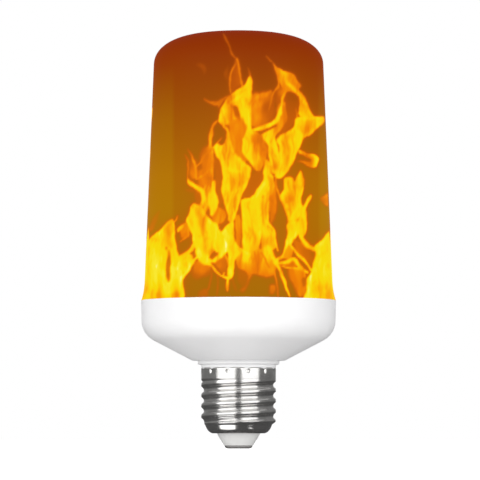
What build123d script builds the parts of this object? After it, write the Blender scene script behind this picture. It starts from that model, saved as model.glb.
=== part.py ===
from build123d import *
from math import cos, pi, radians, sin, tan
import os

# Flame effect LED bulb, standing cap down, in millimetres.
# The origin is the bottom centre of the tip contact, and Z is the axis of the bulb.
# The front is towards -Y.

# Clearances
slip_fit = 0.05
loose_fit = 0.1
board_fit = 0.1
lamp_seat_gap = 0.05

# Screw cap, 27 mm class: a drawn sheet cup with a rolled knuckle thread
cap_pitch = 3.629
cap_crest_radius = 13.05
cap_thread_depth = 0.88
cap_wall = 0.3
cap_bottom_z = 5.3
cap_length = 22.8
cap_first_crest_height = 4.15
cap_end_height = 4.9
cap_end_taper = 2.0
cap_taper_power = 1.3
cap_edge_round = 1.0
cap_edge_power = 12
cap_lead_in = 1.6
cap_band_height = 5.5
cap_band_step = 0.03
cap_edge_shares = (0.0, 0.12, 0.3, 0.55, 0.9)
cap_samples_per_turn = 24
cap_sections_per_pitch = 8

# Crimp dents that hold the cap on the neck
crimp_count = 12
crimp_first_angle = -78.0
crimp_radius = 0.95
crimp_depth = 0.5
crimp_below_rim = 1.5

# Tip contact and insulator
contact_radius = 4.9
contact_height = 1.1
contact_edge_height = 0.7
contact_flat_radius = 3.2
rivet_radius = 1.5
rivet_head_radius = 2.6
rivet_head_height = 0.8
insulator_tip_margin = 0.26
insulator_flange_inset = 3.57
insulator_flange_width = 1.05
insulator_flange_height = 1.5

# Housing: a moulded bowl with a stepped neck
housing_radius = 34.0
housing_draft = 0.25
housing_wall = 2.0
housing_corner_radius = 8.0
housing_side_height = 11.7
cone_angle = 27.6
cone_ledge_width = 2.0
ring_overhang = 1.2
ring_height = 1.25
ring_bevel = 0.45
collar_inset = 0.05
collar_height = 0.85
neck_wall = 1.8
neck_above_cap_end = 7.2

# Joint between the housing and the cover
rim_wall = 1.05
rim_depth = 4.0
bead_radius = 0.4
bead_below_seam = 2.2

# Cover: a tapered translucent cup with a flared foot and a soft top edge
cover_inset = 0.05
cover_wall = 1.4
cover_height = 94.0
cover_flare_height = 7.0
cover_flare_width = 1.2
cover_taper_width = 3.05
cover_crown_radius = 7.7
cover_shoulder_height = 12.0

# Lamp carrier: a flanged tube that stands on three bosses in the housing
lamp_to_cover = 7.3
tube_wall = 1.5
tube_to_cover_top = 16.5
tube_ledge_width = 2.2
tube_ledge_height = 1.4
tube_ledge_rise = 5.2
tube_slot_width = 9.0
tube_slot_height = 1.2
tube_cap_height = 1.6
tube_cap_plug = 4.0
tube_cap_vent_radius = 4.0
flange_below_seam = 4.7
flange_height = 2.0
flange_to_housing = 2.2
flange_margin = 4.3
boss_count = 3
boss_first_angle = 90.0
boss_radius = 3.0
boss_pilot_depth = 8.0

# Screws that hold the carrier
screw_shank_radius = 1.0
screw_length = 8.0
screw_head_radius = 2.2
screw_head_height = 1.5
screw_recess_length = 2.6
screw_recess_width = 0.7
screw_recess_depth = 0.7

# Rolled lamp board with its lamps
lamp_board_thickness = 0.3
lamp_board_rise = 8.7
lamp_board_below_top = 1.5
lamp_board_end_margin = 0.9
lamp_board_seam = 2.5
lamp_board_seam_angle = 90.0
lamp_board_tail_width = 8.0
lamp_board_tail_length = 4.2
lamp_columns = 12
lamp_rows = 8
lamp_length = 3.5
lamp_width = 2.8
lamp_height = 0.7

# Driver board, upright in the neck's slots with a wide head in the bowl
driver_board_thickness = 1.6
driver_board_below_flange = 1.2
driver_head_inset = 9.8
driver_head_height = 7.1
driver_corner_radius = 0.8
driver_slot_depth = 0.8
driver_slot_rise = 2.1

# Parts on the driver board's head, as shares of half its width
input_can_radius_share = 0.25
input_can_length_share = 0.75
input_can_x_share = -0.6
output_can_radius_share = 0.2
output_can_length_share = 0.55
output_can_x_share = -0.575
coil_core_radius_share = 0.25
coil_core_length_share = 0.45
coil_window_share = 0.7
coil_winding_share = 0.88
coil_x_share = 0.525
driver_chip_x_share = 0.475
can_groove_depth = 0.35
can_groove_share = 1 / 7
can_edge_share = 1 / 8
head_parts_below_top = 4.8

# Parts on its tail, placed from the neck's bottom edge
bridge_x = 4.5
bridge_rise = 11.5
fuse_radius = 1.9
fuse_waist_radius = 1.6
fuse_length = 9.5
fuse_waist_length = 4.8
fuse_x = -4.5
fuse_rise = 10.5
part_lead_radius = 0.3

# Chips: length, width and height of each package, and its pins on one side
bridge_size = (4.7, 3.8, 2.4)
bridge_pins = 2
bridge_pin_pitch = 2.5
driver_chip_size = (4.9, 3.9, 1.5)
driver_chip_pins = 4
controller_chip_size = (9.9, 3.9, 1.5)
controller_chip_pins = 8
chip_pin_pitch = 1.27
chip_edge_share = 1 / 8
chip_leg_reach = 1.0
chip_leg_thickness = 0.2
chip_leg_share = 0.35
chip_stand_off = 0.1

# Controller board and its parts
controller_board_thickness = 1.2
controller_chip_y = 2.0
connector_length = 9.8
connector_width = 4.6
connector_height = 5.4
connector_wall = 0.8
connector_pin_length = 2.7
connector_pins = 3
connector_pitch = 2.5
connector_y = -5.0

# Insulated leads inside
lead_radius = 0.65
lead_bend_radius = 2.6
lead_joint_length = 4.5
live_lead_rise = 2.9
neutral_lead_bend_x = 6.5
neutral_lead_x = 4.5
led_lead_bottom_drop = 7.6
led_lead_low_bend_drop = 4.6
led_lead_high_bend_drop = 0.2

cap_root_radius = cap_crest_radius - cap_thread_depth
cap_top_z = cap_bottom_z + cap_length
cap_first_crest_z = cap_bottom_z + cap_first_crest_height
cap_band_z = cap_top_z - cap_band_height
plain_band_z = cap_band_z + cap_lead_in
insulator_flange_radius = cap_root_radius - insulator_flange_inset
insulator_neck_radius = insulator_flange_radius - insulator_flange_width
cap_hole_radius = insulator_neck_radius + slip_fit
crimp_z = cap_top_z - crimp_below_rim
ring_radius = cap_crest_radius + ring_overhang
collar_radius = cap_crest_radius - collar_inset
cone_bottom_radius = ring_radius + cone_ledge_width
cone_bottom_z = cap_top_z + collar_height + ring_bevel + ring_height
cone_slope = tan(radians(cone_angle))
housing_corner_x = housing_radius - housing_draft
housing_corner_z = cone_bottom_z + (housing_corner_x - cone_bottom_radius) * cone_slope
seam_z = housing_corner_z + housing_side_height
rim_radius = housing_radius - rim_wall
skirt_radius = rim_radius - slip_fit
neck_collar_radius = cap_crest_radius - cap_wall - slip_fit
neck_tube_radius = cap_root_radius - cap_wall - loose_fit
neck_bore_radius = neck_tube_radius - neck_wall
neck_bottom_z = cap_bottom_z + neck_above_cap_end
cover_radius = housing_radius - cover_inset
cover_flare_radius = cover_radius - cover_flare_width
cover_shoulder_radius = cover_flare_radius - cover_taper_width
flange_z = seam_z - flange_below_seam
flange_top_z = flange_z + flange_height
flange_radius = housing_radius - housing_wall - flange_to_housing
tube_radius = cover_shoulder_radius - cover_wall - lamp_to_cover
tube_bore_radius = tube_radius - tube_wall
tube_top_z = seam_z + cover_height - cover_wall - tube_to_cover_top - tube_cap_height
boss_circle_radius = flange_radius - flange_margin
tube_ledge_z = flange_z + tube_ledge_rise
controller_board_z = tube_ledge_z + tube_ledge_height
controller_face_z = controller_board_z + controller_board_thickness
lamp_board_radius = tube_radius + slip_fit
lamp_board_bottom_z = flange_z + lamp_board_rise
lamp_board_height = tube_top_z - lamp_board_below_top - lamp_board_bottom_z
lamp_row_pitch = (lamp_board_height - 2 * lamp_board_end_margin) / lamp_rows
lamp_face_radius = lamp_board_radius + lamp_board_thickness + lamp_seat_gap
driver_slot_stop_z = neck_bottom_z + driver_slot_rise
driver_board_top_z = flange_z - driver_board_below_flange
driver_head_half = flange_radius - driver_head_inset
driver_face_y = -driver_board_thickness / 2
head_parts_z = driver_board_top_z - head_parts_below_top


def smooth_step(value, start, end):
    """Rise from 0 to 1 between start and end, level at both."""
    t = min(1.0, max(0.0, (value - start) / (end - start)))
    return t * t * (3.0 - 2.0 * t)


def cap_plain_radius(z):
    """Root radius of the cap at height z: rounded rim, tapered end, then parallel."""
    u = min(1.0, max(0.0, 1.0 - (z - cap_bottom_z) / cap_end_height))
    taper = cap_end_taper * u**cap_taper_power
    return cap_root_radius - taper - cap_edge_round * u**cap_edge_power


def cap_thread_height(z, angle):
    """Height of the rolled thread over its root: a right-hand wave that grows from the
    tapered end and rises to just under the plain band at the top."""
    wave = 0.5 + 0.5 * cos(2.0 * pi * (z - cap_first_crest_z) / cap_pitch - angle)
    grown = smooth_step(z, cap_first_crest_z - cap_lead_in, cap_first_crest_z)
    band = smooth_step(z, cap_band_z, plain_band_z)
    return (cap_thread_depth - cap_band_step) * grown * (band + (1.0 - band) * wave)


def cap_form(inset):
    """Solid inside the cap's sheet: the outer form, or the hollow when inset by the wall.
    The end and the thread are lofted through level sections, and the band is a cylinder."""
    bottom_z = cap_bottom_z + inset
    edge_heights = [bottom_z + cap_edge_round * share for share in cap_edge_shares]
    thread_start = edge_heights[-1] + cap_pitch / cap_sections_per_pitch
    steps = round((plain_band_z - thread_start) / cap_pitch * cap_sections_per_pitch)
    rise = (plain_band_z - thread_start) / steps
    thread_heights = [thread_start + rise * i for i in range(steps + 1)]
    turn_shares = [k / cap_samples_per_turn for k in range(cap_samples_per_turn + 1)]
    with BuildPart() as form:
        for z in edge_heights + thread_heights:
            outline = []
            for share in turn_shares[:-1]:
                angle = 2.0 * pi * share
                radius = cap_plain_radius(z - inset) - inset + cap_thread_height(z, angle)
                outline.append(Vector(radius * cos(angle), radius * sin(angle)))
            with BuildSketch(Plane.XY.offset(z)):
                with BuildLine():
                    add(Edge.make_spline(outline, periodic=True, parameters=turn_shares))
                make_face()
        loft()
        with Locations((0, 0, plain_band_z)):
            Cylinder(
                cap_crest_radius - inset,
                cap_top_z + inset - plain_band_z,
                align=(Align.CENTER, Align.CENTER, Align.MIN),
            )
    return form.part


def can_capacitor(radius, length):
    """Standing can on its base: a crimped groove near the base and a rounded top edge."""
    with BuildPart() as can:
        Cylinder(radius, length, align=(Align.CENTER, Align.CENTER, Align.MIN))
        fillet(can.edges().sort_by(Axis.Z)[-1], radius * can_edge_share)
        with Locations((0, 0, length * can_groove_share)):
            Torus(radius + can_groove_depth, 2 * can_groove_depth, mode=Mode.SUBTRACT)
    return can.part


def leaded_chip(size, pins_a_side, pin_pitch):
    """Flat moulded package with bent legs along both long sides, standing on z = 0."""
    length, width, height = size
    leg_width = pin_pitch * chip_leg_share
    leg_y = width / 2
    foot_y = leg_y + chip_leg_reach
    knee_y = leg_y + chip_leg_reach / 2
    leg_top_z = chip_stand_off + height / 2
    with BuildPart() as leg_pair:
        with BuildSketch(Plane.YZ):
            with BuildLine():
                Polyline(
                    (leg_y, leg_top_z),
                    (knee_y, leg_top_z),
                    (knee_y, chip_leg_thickness),
                    (foot_y, chip_leg_thickness),
                    (foot_y, 0),
                    (knee_y - chip_leg_thickness, 0),
                    (knee_y - chip_leg_thickness, leg_top_z - chip_leg_thickness),
                    (leg_y, leg_top_z - chip_leg_thickness),
                    close=True,
                )
            make_face()
            mirror(about=Plane.YZ)
        extrude(amount=leg_width / 2, both=True)
    with BuildPart() as package:
        with Locations((0, 0, chip_stand_off)):
            Box(length, width, height, align=(Align.CENTER, Align.CENTER, Align.MIN))
        chamfer(package.edges().group_by(Axis.Z)[-1], height * chip_edge_share)
        with GridLocations(pin_pitch, 1, pins_a_side, 1):
            add(leg_pair.part)
    return package.part


def insulated_lead(*points):
    """Round lead along straight runs joined by arcs."""
    with BuildPart() as lead:
        with BuildLine() as route:
            FilletPolyline(*points, radius=lead_bend_radius)
        with BuildSketch(Plane(origin=route.line @ 0, z_dir=route.line % 0)):
            Circle(lead_radius)
        sweep()
    return lead.part


os.makedirs("parts", exist_ok=True)


# Screw cap shell
with BuildPart() as screw_shell:
    add(cap_form(0.0))
    add(cap_form(cap_wall), mode=Mode.SUBTRACT)
    with Locations((0, 0, cap_bottom_z)):
        Cylinder(cap_hole_radius, 4 * cap_wall, mode=Mode.SUBTRACT)
    crimp_planes = []
    dent_planes = []
    for k in range(crimp_count):
        angle = radians(crimp_first_angle + 360.0 * k / crimp_count)
        outward = Vector(cos(angle), sin(angle), 0)
        middle = Vector(0, 0, crimp_z)
        crimp_planes.append(Plane(middle + outward * (cap_crest_radius - cap_wall / 2), z_dir=-outward))
        dent_planes.append(Plane(middle + outward * (cap_crest_radius + slip_fit), z_dir=-outward))
    with Locations(*crimp_planes):
        Cone(
            crimp_radius,
            cap_wall,
            crimp_depth + cap_wall / 2,
            align=(Align.CENTER, Align.CENTER, Align.MIN),
        )
    with Locations(*dent_planes):
        Cone(
            crimp_radius - cap_wall,
            cap_wall / 3,
            crimp_depth,
            align=(Align.CENTER, Align.CENTER, Align.MIN),
            mode=Mode.SUBTRACT,
        )
screw_shell.part.label = "screw_shell"
export_step(screw_shell.part, "parts/screw_shell.step")

# Insulator: a cone that closes the cap, with a flange seated on the cap's lip
insulator_flange_z = cap_bottom_z + cap_wall
insulator_top_z = insulator_flange_z + insulator_flange_height
with BuildPart() as cap_insulator:
    with BuildSketch(Plane.XZ):
        with BuildLine():
            Polyline(
                (rivet_radius + slip_fit, contact_height),
                (contact_radius + insulator_tip_margin, contact_height),
                (insulator_neck_radius, cap_bottom_z),
                (insulator_neck_radius, insulator_flange_z),
                (insulator_flange_radius, insulator_flange_z),
                (insulator_flange_radius, insulator_top_z),
                (rivet_radius + slip_fit, insulator_top_z),
                close=True,
            )
        make_face()
    revolve(axis=Axis.Z)
cap_insulator.part.label = "cap_insulator"
export_step(cap_insulator.part, "parts/cap_insulator.step")

# Tip contact: a shallow button with its rivet, headed over on the insulator
rivet_top_z = insulator_top_z + rivet_head_height
with BuildPart() as centre_contact:
    with BuildSketch(Plane.XZ):
        with BuildLine():
            button = Polyline((0, rivet_top_z), (0, 0), (contact_flat_radius, 0))
            edge = Spline(
                button @ 1,
                (contact_radius, contact_edge_height),
                tangents=[(1, 0), (0.5, 1)],
            )
            Polyline(
                edge @ 1,
                (contact_radius, contact_height),
                (rivet_radius, contact_height),
                (rivet_radius, insulator_top_z),
                (rivet_head_radius, insulator_top_z),
                (rivet_radius, rivet_top_z),
                button @ 0,
            )
        make_face()
    revolve(axis=Axis.Z)
centre_contact.part.label = "centre_contact"
export_step(centre_contact.part, "parts/centre_contact.step")

# Housing: bowl, stepped neck, board slots and carrier bosses
neck_step_z = plain_band_z + loose_fit
crimp_groove_radius = cap_crest_radius - cap_wall - crimp_depth - slip_fit
hollow_rise = housing_wall / cos(radians(cone_angle))
hollow_corner_x = housing_corner_x - housing_wall


def hollow_z(radius):
    """Height of the hollow's cone at a radius."""
    return cone_bottom_z + hollow_rise + (radius - cone_bottom_radius) * cone_slope


# Carrier bosses, cut to the bowl's outer form at their feet
with BuildPart() as bosses:
    with BuildSketch(Plane.XY.offset(flange_z)):
        with PolarLocations(boss_circle_radius, boss_count, start_angle=boss_first_angle):
            Circle(boss_radius)
    extrude(amount=-(flange_z - cone_bottom_z))
    with BuildSketch(Plane.XZ):
        with BuildLine():
            Polyline(
                (0, flange_z),
                (0, cone_bottom_z),
                (cone_bottom_radius, cone_bottom_z),
                (housing_corner_x, housing_corner_z),
                (housing_corner_x, flange_z),
                close=True,
            )
        make_face()
    revolve(axis=Axis.Z, mode=Mode.INTERSECT)

with BuildPart() as base_housing:
    with BuildSketch(Plane.XZ):
        with BuildLine():
            neck = Polyline(
                (neck_bore_radius, neck_bottom_z),
                (neck_tube_radius, neck_bottom_z),
                (neck_tube_radius, neck_step_z),
                (neck_collar_radius, neck_step_z),
                (neck_collar_radius, crimp_z - crimp_radius - loose_fit),
                (crimp_groove_radius, crimp_z - crimp_radius - loose_fit),
                (crimp_groove_radius, crimp_z + crimp_radius + loose_fit),
                (neck_collar_radius, crimp_z + crimp_radius + loose_fit),
                (neck_collar_radius, cap_top_z),
                (collar_radius, cap_top_z),
                (collar_radius, cap_top_z + collar_height),
                (ring_radius, cap_top_z + collar_height + ring_bevel),
                (ring_radius, cone_bottom_z),
                (cone_bottom_radius, cone_bottom_z),
            )
            bowl = FilletPolyline(
                neck @ 1,
                (housing_corner_x, housing_corner_z),
                (housing_radius, seam_z),
                radius=housing_corner_radius,
            )
            rim = Polyline(
                bowl @ 1,
                (rim_radius, seam_z),
                (rim_radius, seam_z - rim_depth),
                (housing_radius - housing_wall, seam_z - rim_depth),
            )
            hollow = FilletPolyline(
                rim @ 1,
                (hollow_corner_x, hollow_z(hollow_corner_x)),
                (neck_bore_radius, hollow_z(neck_bore_radius)),
                radius=housing_corner_radius - housing_wall,
            )
            Line(hollow @ 1, neck @ 0)
        make_face()
    revolve(axis=Axis.Z)
    with Locations((0, 0, seam_z - bead_below_seam)):
        Torus(rim_radius, bead_radius + slip_fit, mode=Mode.SUBTRACT)
    with Locations((0, 0, driver_slot_stop_z)):
        Box(
            2 * (neck_bore_radius + driver_slot_depth),
            driver_board_thickness + 2 * board_fit,
            hollow_z(neck_tube_radius) - driver_slot_stop_z,
            align=(Align.CENTER, Align.CENTER, Align.MIN),
            mode=Mode.SUBTRACT,
        )
    add(bosses.part)
    with PolarLocations(boss_circle_radius, boss_count, start_angle=boss_first_angle):
        with Locations((0, 0, flange_z)):
            Hole(screw_shank_radius + slip_fit, boss_pilot_depth)
base_housing.part.label = "base_housing"
export_step(base_housing.part, "parts/base_housing.step")

# Cover: tapered cup with a skirt that snaps into the housing's rim


def cover_form(inset):
    """Solid inside the cover's wall: the outer form, or the hollow when inset by the wall."""
    top_z = seam_z + cover_height - inset
    flare_z = seam_z + cover_flare_height
    shoulder_z = seam_z + cover_height - cover_shoulder_height
    taper = (cover_shoulder_radius - cover_flare_radius, shoulder_z - flare_z)
    with BuildPart() as form:
        with BuildSketch(Plane.XZ):
            with BuildLine():
                flare = Spline(
                    (cover_radius - inset, seam_z),
                    (cover_flare_radius - inset, flare_z),
                    tangents=[(cover_flare_radius - cover_radius, cover_flare_height / 2), taper],
                )
                Line(flare @ 1, (cover_shoulder_radius - inset, shoulder_z))
                shoulder = EllipticalCenterArc(
                    (cover_crown_radius, shoulder_z),
                    cover_shoulder_radius - cover_crown_radius - inset,
                    cover_shoulder_height - inset,
                    start_angle=0,
                    arc_size=90,
                )
                Polyline(shoulder @ 1, (0, top_z), (0, seam_z), flare @ 0)
            make_face()
        revolve(axis=Axis.Z)
    return form.part


with BuildPart() as diffuser_cover:
    add(cover_form(0.0))
    add(cover_form(cover_wall), mode=Mode.SUBTRACT)
    with BuildSketch(Plane.XZ):
        with BuildLine():
            skirt_bottom_z = seam_z - rim_depth + loose_fit
            Polyline(
                (skirt_radius - cover_wall, skirt_bottom_z),
                (skirt_radius, skirt_bottom_z),
                (skirt_radius, seam_z + cover_wall / 2),
                (skirt_radius - cover_wall / 2, seam_z + 2 * cover_wall),
                (skirt_radius - cover_wall, seam_z + cover_wall),
                close=True,
            )
        make_face()
    revolve(axis=Axis.Z)
    with Locations((0, 0, seam_z - bead_below_seam)):
        Torus(skirt_radius, bead_radius)
diffuser_cover.part.label = "diffuser_cover"
export_step(diffuser_cover.part, "parts/diffuser_cover.step")

# Lamp carrier: tube, foot flange, inner ledge and the slot for the board's tail
with BuildPart() as led_carrier:
    with BuildSketch(Plane.XZ):
        with BuildLine():
            Polyline(
                (tube_bore_radius, flange_z),
                (flange_radius, flange_z),
                (flange_radius, flange_top_z),
                (tube_radius, flange_top_z),
                (tube_radius, tube_top_z),
                (tube_bore_radius, tube_top_z),
                (tube_bore_radius, tube_ledge_z + tube_ledge_height),
                (tube_bore_radius - tube_ledge_width, tube_ledge_z + tube_ledge_height),
                (tube_bore_radius - tube_ledge_width, tube_ledge_z),
                (tube_bore_radius, tube_ledge_z - tube_ledge_width),
                close=True,
            )
        make_face()
    revolve(axis=Axis.Z)
    with PolarLocations(boss_circle_radius, boss_count, start_angle=boss_first_angle):
        with Locations((0, 0, flange_z)):
            Cylinder(screw_shank_radius + loose_fit, 3 * flange_height, mode=Mode.SUBTRACT)
    with Locations((0, -tube_radius, controller_face_z)):
        Box(
            tube_slot_width,
            4 * tube_wall,
            tube_slot_height,
            align=(Align.CENTER, Align.CENTER, Align.MIN),
            mode=Mode.SUBTRACT,
        )
led_carrier.part.label = "led_carrier"
export_step(led_carrier.part, "parts/led_carrier.step")

# Cap on the carrier's top, plugged into the tube, with a vent
with BuildPart() as carrier_cap:
    with BuildSketch(Plane.XZ):
        with BuildLine():
            Polyline(
                (tube_cap_vent_radius, tube_top_z),
                (tube_bore_radius - tube_wall, tube_top_z),
                (tube_bore_radius - tube_wall, tube_top_z - tube_cap_plug),
                (tube_bore_radius - slip_fit, tube_top_z - tube_cap_plug),
                (tube_bore_radius - slip_fit, tube_top_z),
                (tube_radius, tube_top_z),
                (tube_radius, tube_top_z + tube_cap_height),
                (tube_cap_vent_radius, tube_top_z + tube_cap_height),
                close=True,
            )
        make_face()
    revolve(axis=Axis.Z)
    chamfer(carrier_cap.edges().group_by(Axis.Z)[-1].sort_by(SortBy.RADIUS)[-1], tube_cap_height / 4)
carrier_cap.part.label = "carrier_cap"
export_step(carrier_cap.part, "parts/carrier_cap.step")

# Flexible lamp board rolled round the tube, with a seam and a tail to the controller
with BuildPart() as led_board:
    with BuildSketch(Plane.XY.offset(lamp_board_bottom_z)):
        Circle(lamp_board_radius + lamp_board_thickness)
        Circle(lamp_board_radius, mode=Mode.SUBTRACT)
    extrude(amount=lamp_board_height)
    with Locations(Rotation(0, 0, lamp_board_seam_angle)):
        with Locations((lamp_board_radius, 0, lamp_board_bottom_z)):
            Box(
                4 * lamp_board_thickness,
                lamp_board_seam,
                lamp_board_height,
                align=(Align.CENTER, Align.CENTER, Align.MIN),
                mode=Mode.SUBTRACT,
            )
    with BuildSketch(Plane.XY.offset(controller_face_z)):
        Circle(lamp_board_radius + lamp_board_thickness)
        Circle(lamp_board_radius, mode=Mode.SUBTRACT)
        with Locations((0, -lamp_board_radius)):
            Rectangle(lamp_board_tail_width, 4 * lamp_board_thickness, mode=Mode.INTERSECT)
    extrude(amount=lamp_board_bottom_z - controller_face_z)
    with BuildSketch(Plane.XY.offset(controller_face_z)):
        with Locations((0, -lamp_board_radius)):
            Rectangle(
                lamp_board_tail_width,
                lamp_board_tail_length,
                align=(Align.CENTER, Align.MIN),
            )
    extrude(amount=lamp_board_thickness)
led_board.part.label = "led_board"
export_step(led_board.part, "parts/led_board.step")

# Lamps: surface-mounted packages in columns and rows on the board
lamp_columns_planes = []
for column in range(lamp_columns):
    angle = radians(lamp_board_seam_angle + 360.0 * (column + 0.5) / lamp_columns)
    outward = Vector(cos(angle), sin(angle), 0)
    column_middle = outward * lamp_face_radius + Vector(0, 0, lamp_board_bottom_z + lamp_board_height / 2)
    lamp_columns_planes.append(Plane(column_middle, x_dir=(0, 0, 1), z_dir=outward))
with BuildPart() as led_lamps:
    with Locations(*lamp_columns_planes):
        with GridLocations(lamp_row_pitch, 1, lamp_rows, 1):
            Box(
                lamp_length,
                lamp_width,
                lamp_height,
                align=(Align.CENTER, Align.CENTER, Align.MIN),
            )
led_lamps.part.label = "led_lamps"
export_step(led_lamps.part, "parts/led_lamps.step")

# Pan head screws with a cross recess, through the flange into the bosses
with BuildPart() as carrier_screws:
    with PolarLocations(boss_circle_radius, boss_count, start_angle=boss_first_angle):
        with Locations((0, 0, flange_top_z)):
            Cylinder(
                screw_head_radius,
                screw_head_height,
                align=(Align.CENTER, Align.CENTER, Align.MIN),
            )
            Cylinder(
                screw_shank_radius,
                screw_length,
                align=(Align.CENTER, Align.CENTER, Align.MAX),
            )
    fillet(carrier_screws.edges().group_by(Axis.Z)[-1], screw_head_height / 3)
    with PolarLocations(boss_circle_radius, boss_count, start_angle=boss_first_angle):
        with Locations((0, 0, flange_top_z + screw_head_height)):
            for turn in (0, 90):
                Box(
                    screw_recess_length,
                    screw_recess_width,
                    2 * screw_recess_depth,
                    rotation=(0, 0, turn),
                    mode=Mode.SUBTRACT,
                )
carrier_screws.part.label = "carrier_screws"
export_step(carrier_screws.part, "parts/carrier_screws.step")

# Driver board: a narrow tail in the neck's slots and a wide head in the bowl
driver_tail_half = neck_bore_radius + driver_slot_depth - board_fit
driver_tail_top_z = hollow_z(neck_tube_radius)
driver_head_bottom_z = driver_board_top_z - driver_head_height
with BuildPart() as driver_board:
    with BuildSketch(Plane.XZ):
        with BuildLine():
            Polyline(
                (0, driver_slot_stop_z),
                (driver_tail_half, driver_slot_stop_z),
                (driver_tail_half, driver_tail_top_z),
                (driver_head_half, driver_head_bottom_z),
                (driver_head_half, driver_board_top_z),
                (0, driver_board_top_z),
                close=True,
            )
        make_face()
        mirror(about=Plane.YZ)
    extrude(amount=driver_board_thickness / 2, both=True)
    fillet(driver_board.edges().filter_by(Axis.Y).group_by(Axis.Z)[-1], driver_corner_radius)
driver_board.part.label = "driver_board"
export_step(driver_board.part, "parts/driver_board.step")


def on_front(x, z, lift=0.0):
    """Place on the driver board's front face, with the part's own Z pointing out of it."""
    return Location(Plane((x, driver_face_y - lift, z), x_dir=(1, 0, 0), z_dir=(0, -1, 0)))


def on_back(x, z):
    """Place on the driver board's back face, with the part's own Z pointing out of it."""
    return Location(Plane((x, -driver_face_y, z), x_dir=(-1, 0, 0), z_dir=(0, 1, 0)))


input_can_radius = driver_head_half * input_can_radius_share
input_can_length = driver_head_half * input_can_length_share
input_can_x = driver_head_half * input_can_x_share
with BuildPart() as input_capacitor:
    with Locations(on_back(input_can_x, head_parts_z)):
        add(can_capacitor(input_can_radius, input_can_length))
input_capacitor.part.label = "input_capacitor"
export_step(input_capacitor.part, "parts/input_capacitor.step")

output_can_radius = driver_head_half * output_can_radius_share
output_can_length = driver_head_half * output_can_length_share
output_can_x = driver_head_half * output_can_x_share
with BuildPart() as output_capacitor:
    with Locations(on_front(output_can_x, head_parts_z)):
        add(can_capacitor(output_can_radius, output_can_length))
output_capacitor.part.label = "output_capacitor"
export_step(output_capacitor.part, "parts/output_capacitor.step")

# Inductor: a drum core with its winding between the flanges
coil_core_radius = driver_head_half * coil_core_radius_share
coil_core_length = driver_head_half * coil_core_length_share
coil_window_length = coil_core_length * coil_window_share
coil_winding_radius = coil_core_radius * coil_winding_share
with BuildPart() as inductor:
    with Locations(on_back(driver_head_half * coil_x_share, head_parts_z)):
        Cylinder(coil_core_radius, coil_core_length, align=(Align.CENTER, Align.CENTER, Align.MIN))
        with Locations((0, 0, coil_core_length / 2)):
            Cylinder(2 * coil_core_radius, coil_window_length, mode=Mode.SUBTRACT)
            Cylinder(coil_winding_radius, coil_window_length)
inductor.part.label = "inductor"
export_step(inductor.part, "parts/inductor.step")

with BuildPart() as bridge_rectifier:
    with Locations(on_front(bridge_x, neck_bottom_z + bridge_rise)):
        add(leaded_chip(bridge_size, bridge_pins, bridge_pin_pitch))
bridge_rectifier.part.label = "bridge_rectifier"
export_step(bridge_rectifier.part, "parts/bridge_rectifier.step")

with BuildPart() as driver_ic:
    with Locations(on_front(driver_head_half * driver_chip_x_share, head_parts_z)):
        add(leaded_chip(driver_chip_size, driver_chip_pins, chip_pin_pitch))
driver_ic.part.label = "driver_ic"
export_step(driver_ic.part, "parts/driver_ic.step")

# Fuse resistor: a waisted barrel with its two leads bent down to the board
fuse_lift = fuse_radius + slip_fit
with BuildPart() as fuse_resistor:
    with Locations(on_front(fuse_x, neck_bottom_z + fuse_rise, fuse_lift)):
        with Locations(Rotation(90, 0, 0)):
            Cylinder(fuse_radius, fuse_length)
            Cylinder(2 * fuse_radius, fuse_waist_length, mode=Mode.SUBTRACT)
            Cylinder(fuse_waist_radius, fuse_waist_length)
            Cylinder(part_lead_radius, fuse_length + 2 * fuse_radius)
        with GridLocations(1, fuse_length + 2 * fuse_radius - 2 * part_lead_radius, 1, 2):
            with Locations((0, 0, part_lead_radius)):
                Cylinder(
                    part_lead_radius,
                    fuse_lift + part_lead_radius,
                    align=(Align.CENTER, Align.CENTER, Align.MAX),
                )
fuse_resistor.part.label = "fuse_resistor"
export_step(fuse_resistor.part, "parts/fuse_resistor.step")

# Controller board on the tube's ledge, its chip above and its connector below
with BuildPart() as controller_board:
    with BuildSketch(Plane.XY.offset(controller_board_z)):
        Circle(tube_bore_radius - board_fit)
    extrude(amount=controller_board_thickness)
controller_board.part.label = "controller_board"
export_step(controller_board.part, "parts/controller_board.step")

with BuildPart() as controller_ic:
    with Locations((0, controller_chip_y, controller_face_z)):
        add(leaded_chip(controller_chip_size, controller_chip_pins, chip_pin_pitch))
controller_ic.part.label = "controller_ic"
export_step(controller_ic.part, "parts/controller_ic.step")

with BuildPart() as board_connector:
    with Locations((0, connector_y, controller_board_z)):
        Box(
            connector_length,
            connector_width,
            connector_height,
            align=(Align.CENTER, Align.CENTER, Align.MAX),
        )
    with Locations((0, connector_y, controller_board_z - connector_height)):
        Box(
            connector_length - 2 * connector_wall,
            connector_width - 2 * connector_wall,
            2 * (connector_height - connector_wall),
            mode=Mode.SUBTRACT,
        )
    with Locations((0, connector_y, controller_board_z - connector_wall)):
        with GridLocations(connector_pitch, 1, connector_pins, 1):
            Cylinder(
                part_lead_radius,
                connector_pin_length,
                align=(Align.CENTER, Align.CENTER, Align.MAX),
            )
board_connector.part.label = "board_connector"
export_step(board_connector.part, "parts/board_connector.step")

# Leads: from the rivet and from the cap's wall to the driver board, and on to the controller
lead_y = driver_face_y - lead_radius - slip_fit
neutral_z = cap_first_crest_z + cap_pitch / 2
lead_joint_z = driver_slot_stop_z + lead_joint_length
live_lead = insulated_lead(
    (0, 0, rivet_top_z),
    (0, 0, rivet_top_z + live_lead_rise),
    (0, lead_y, driver_slot_stop_z - loose_fit),
    (0, lead_y, lead_joint_z),
)
live_lead.label = "live_lead"
export_step(live_lead, "parts/live_lead.step")

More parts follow.
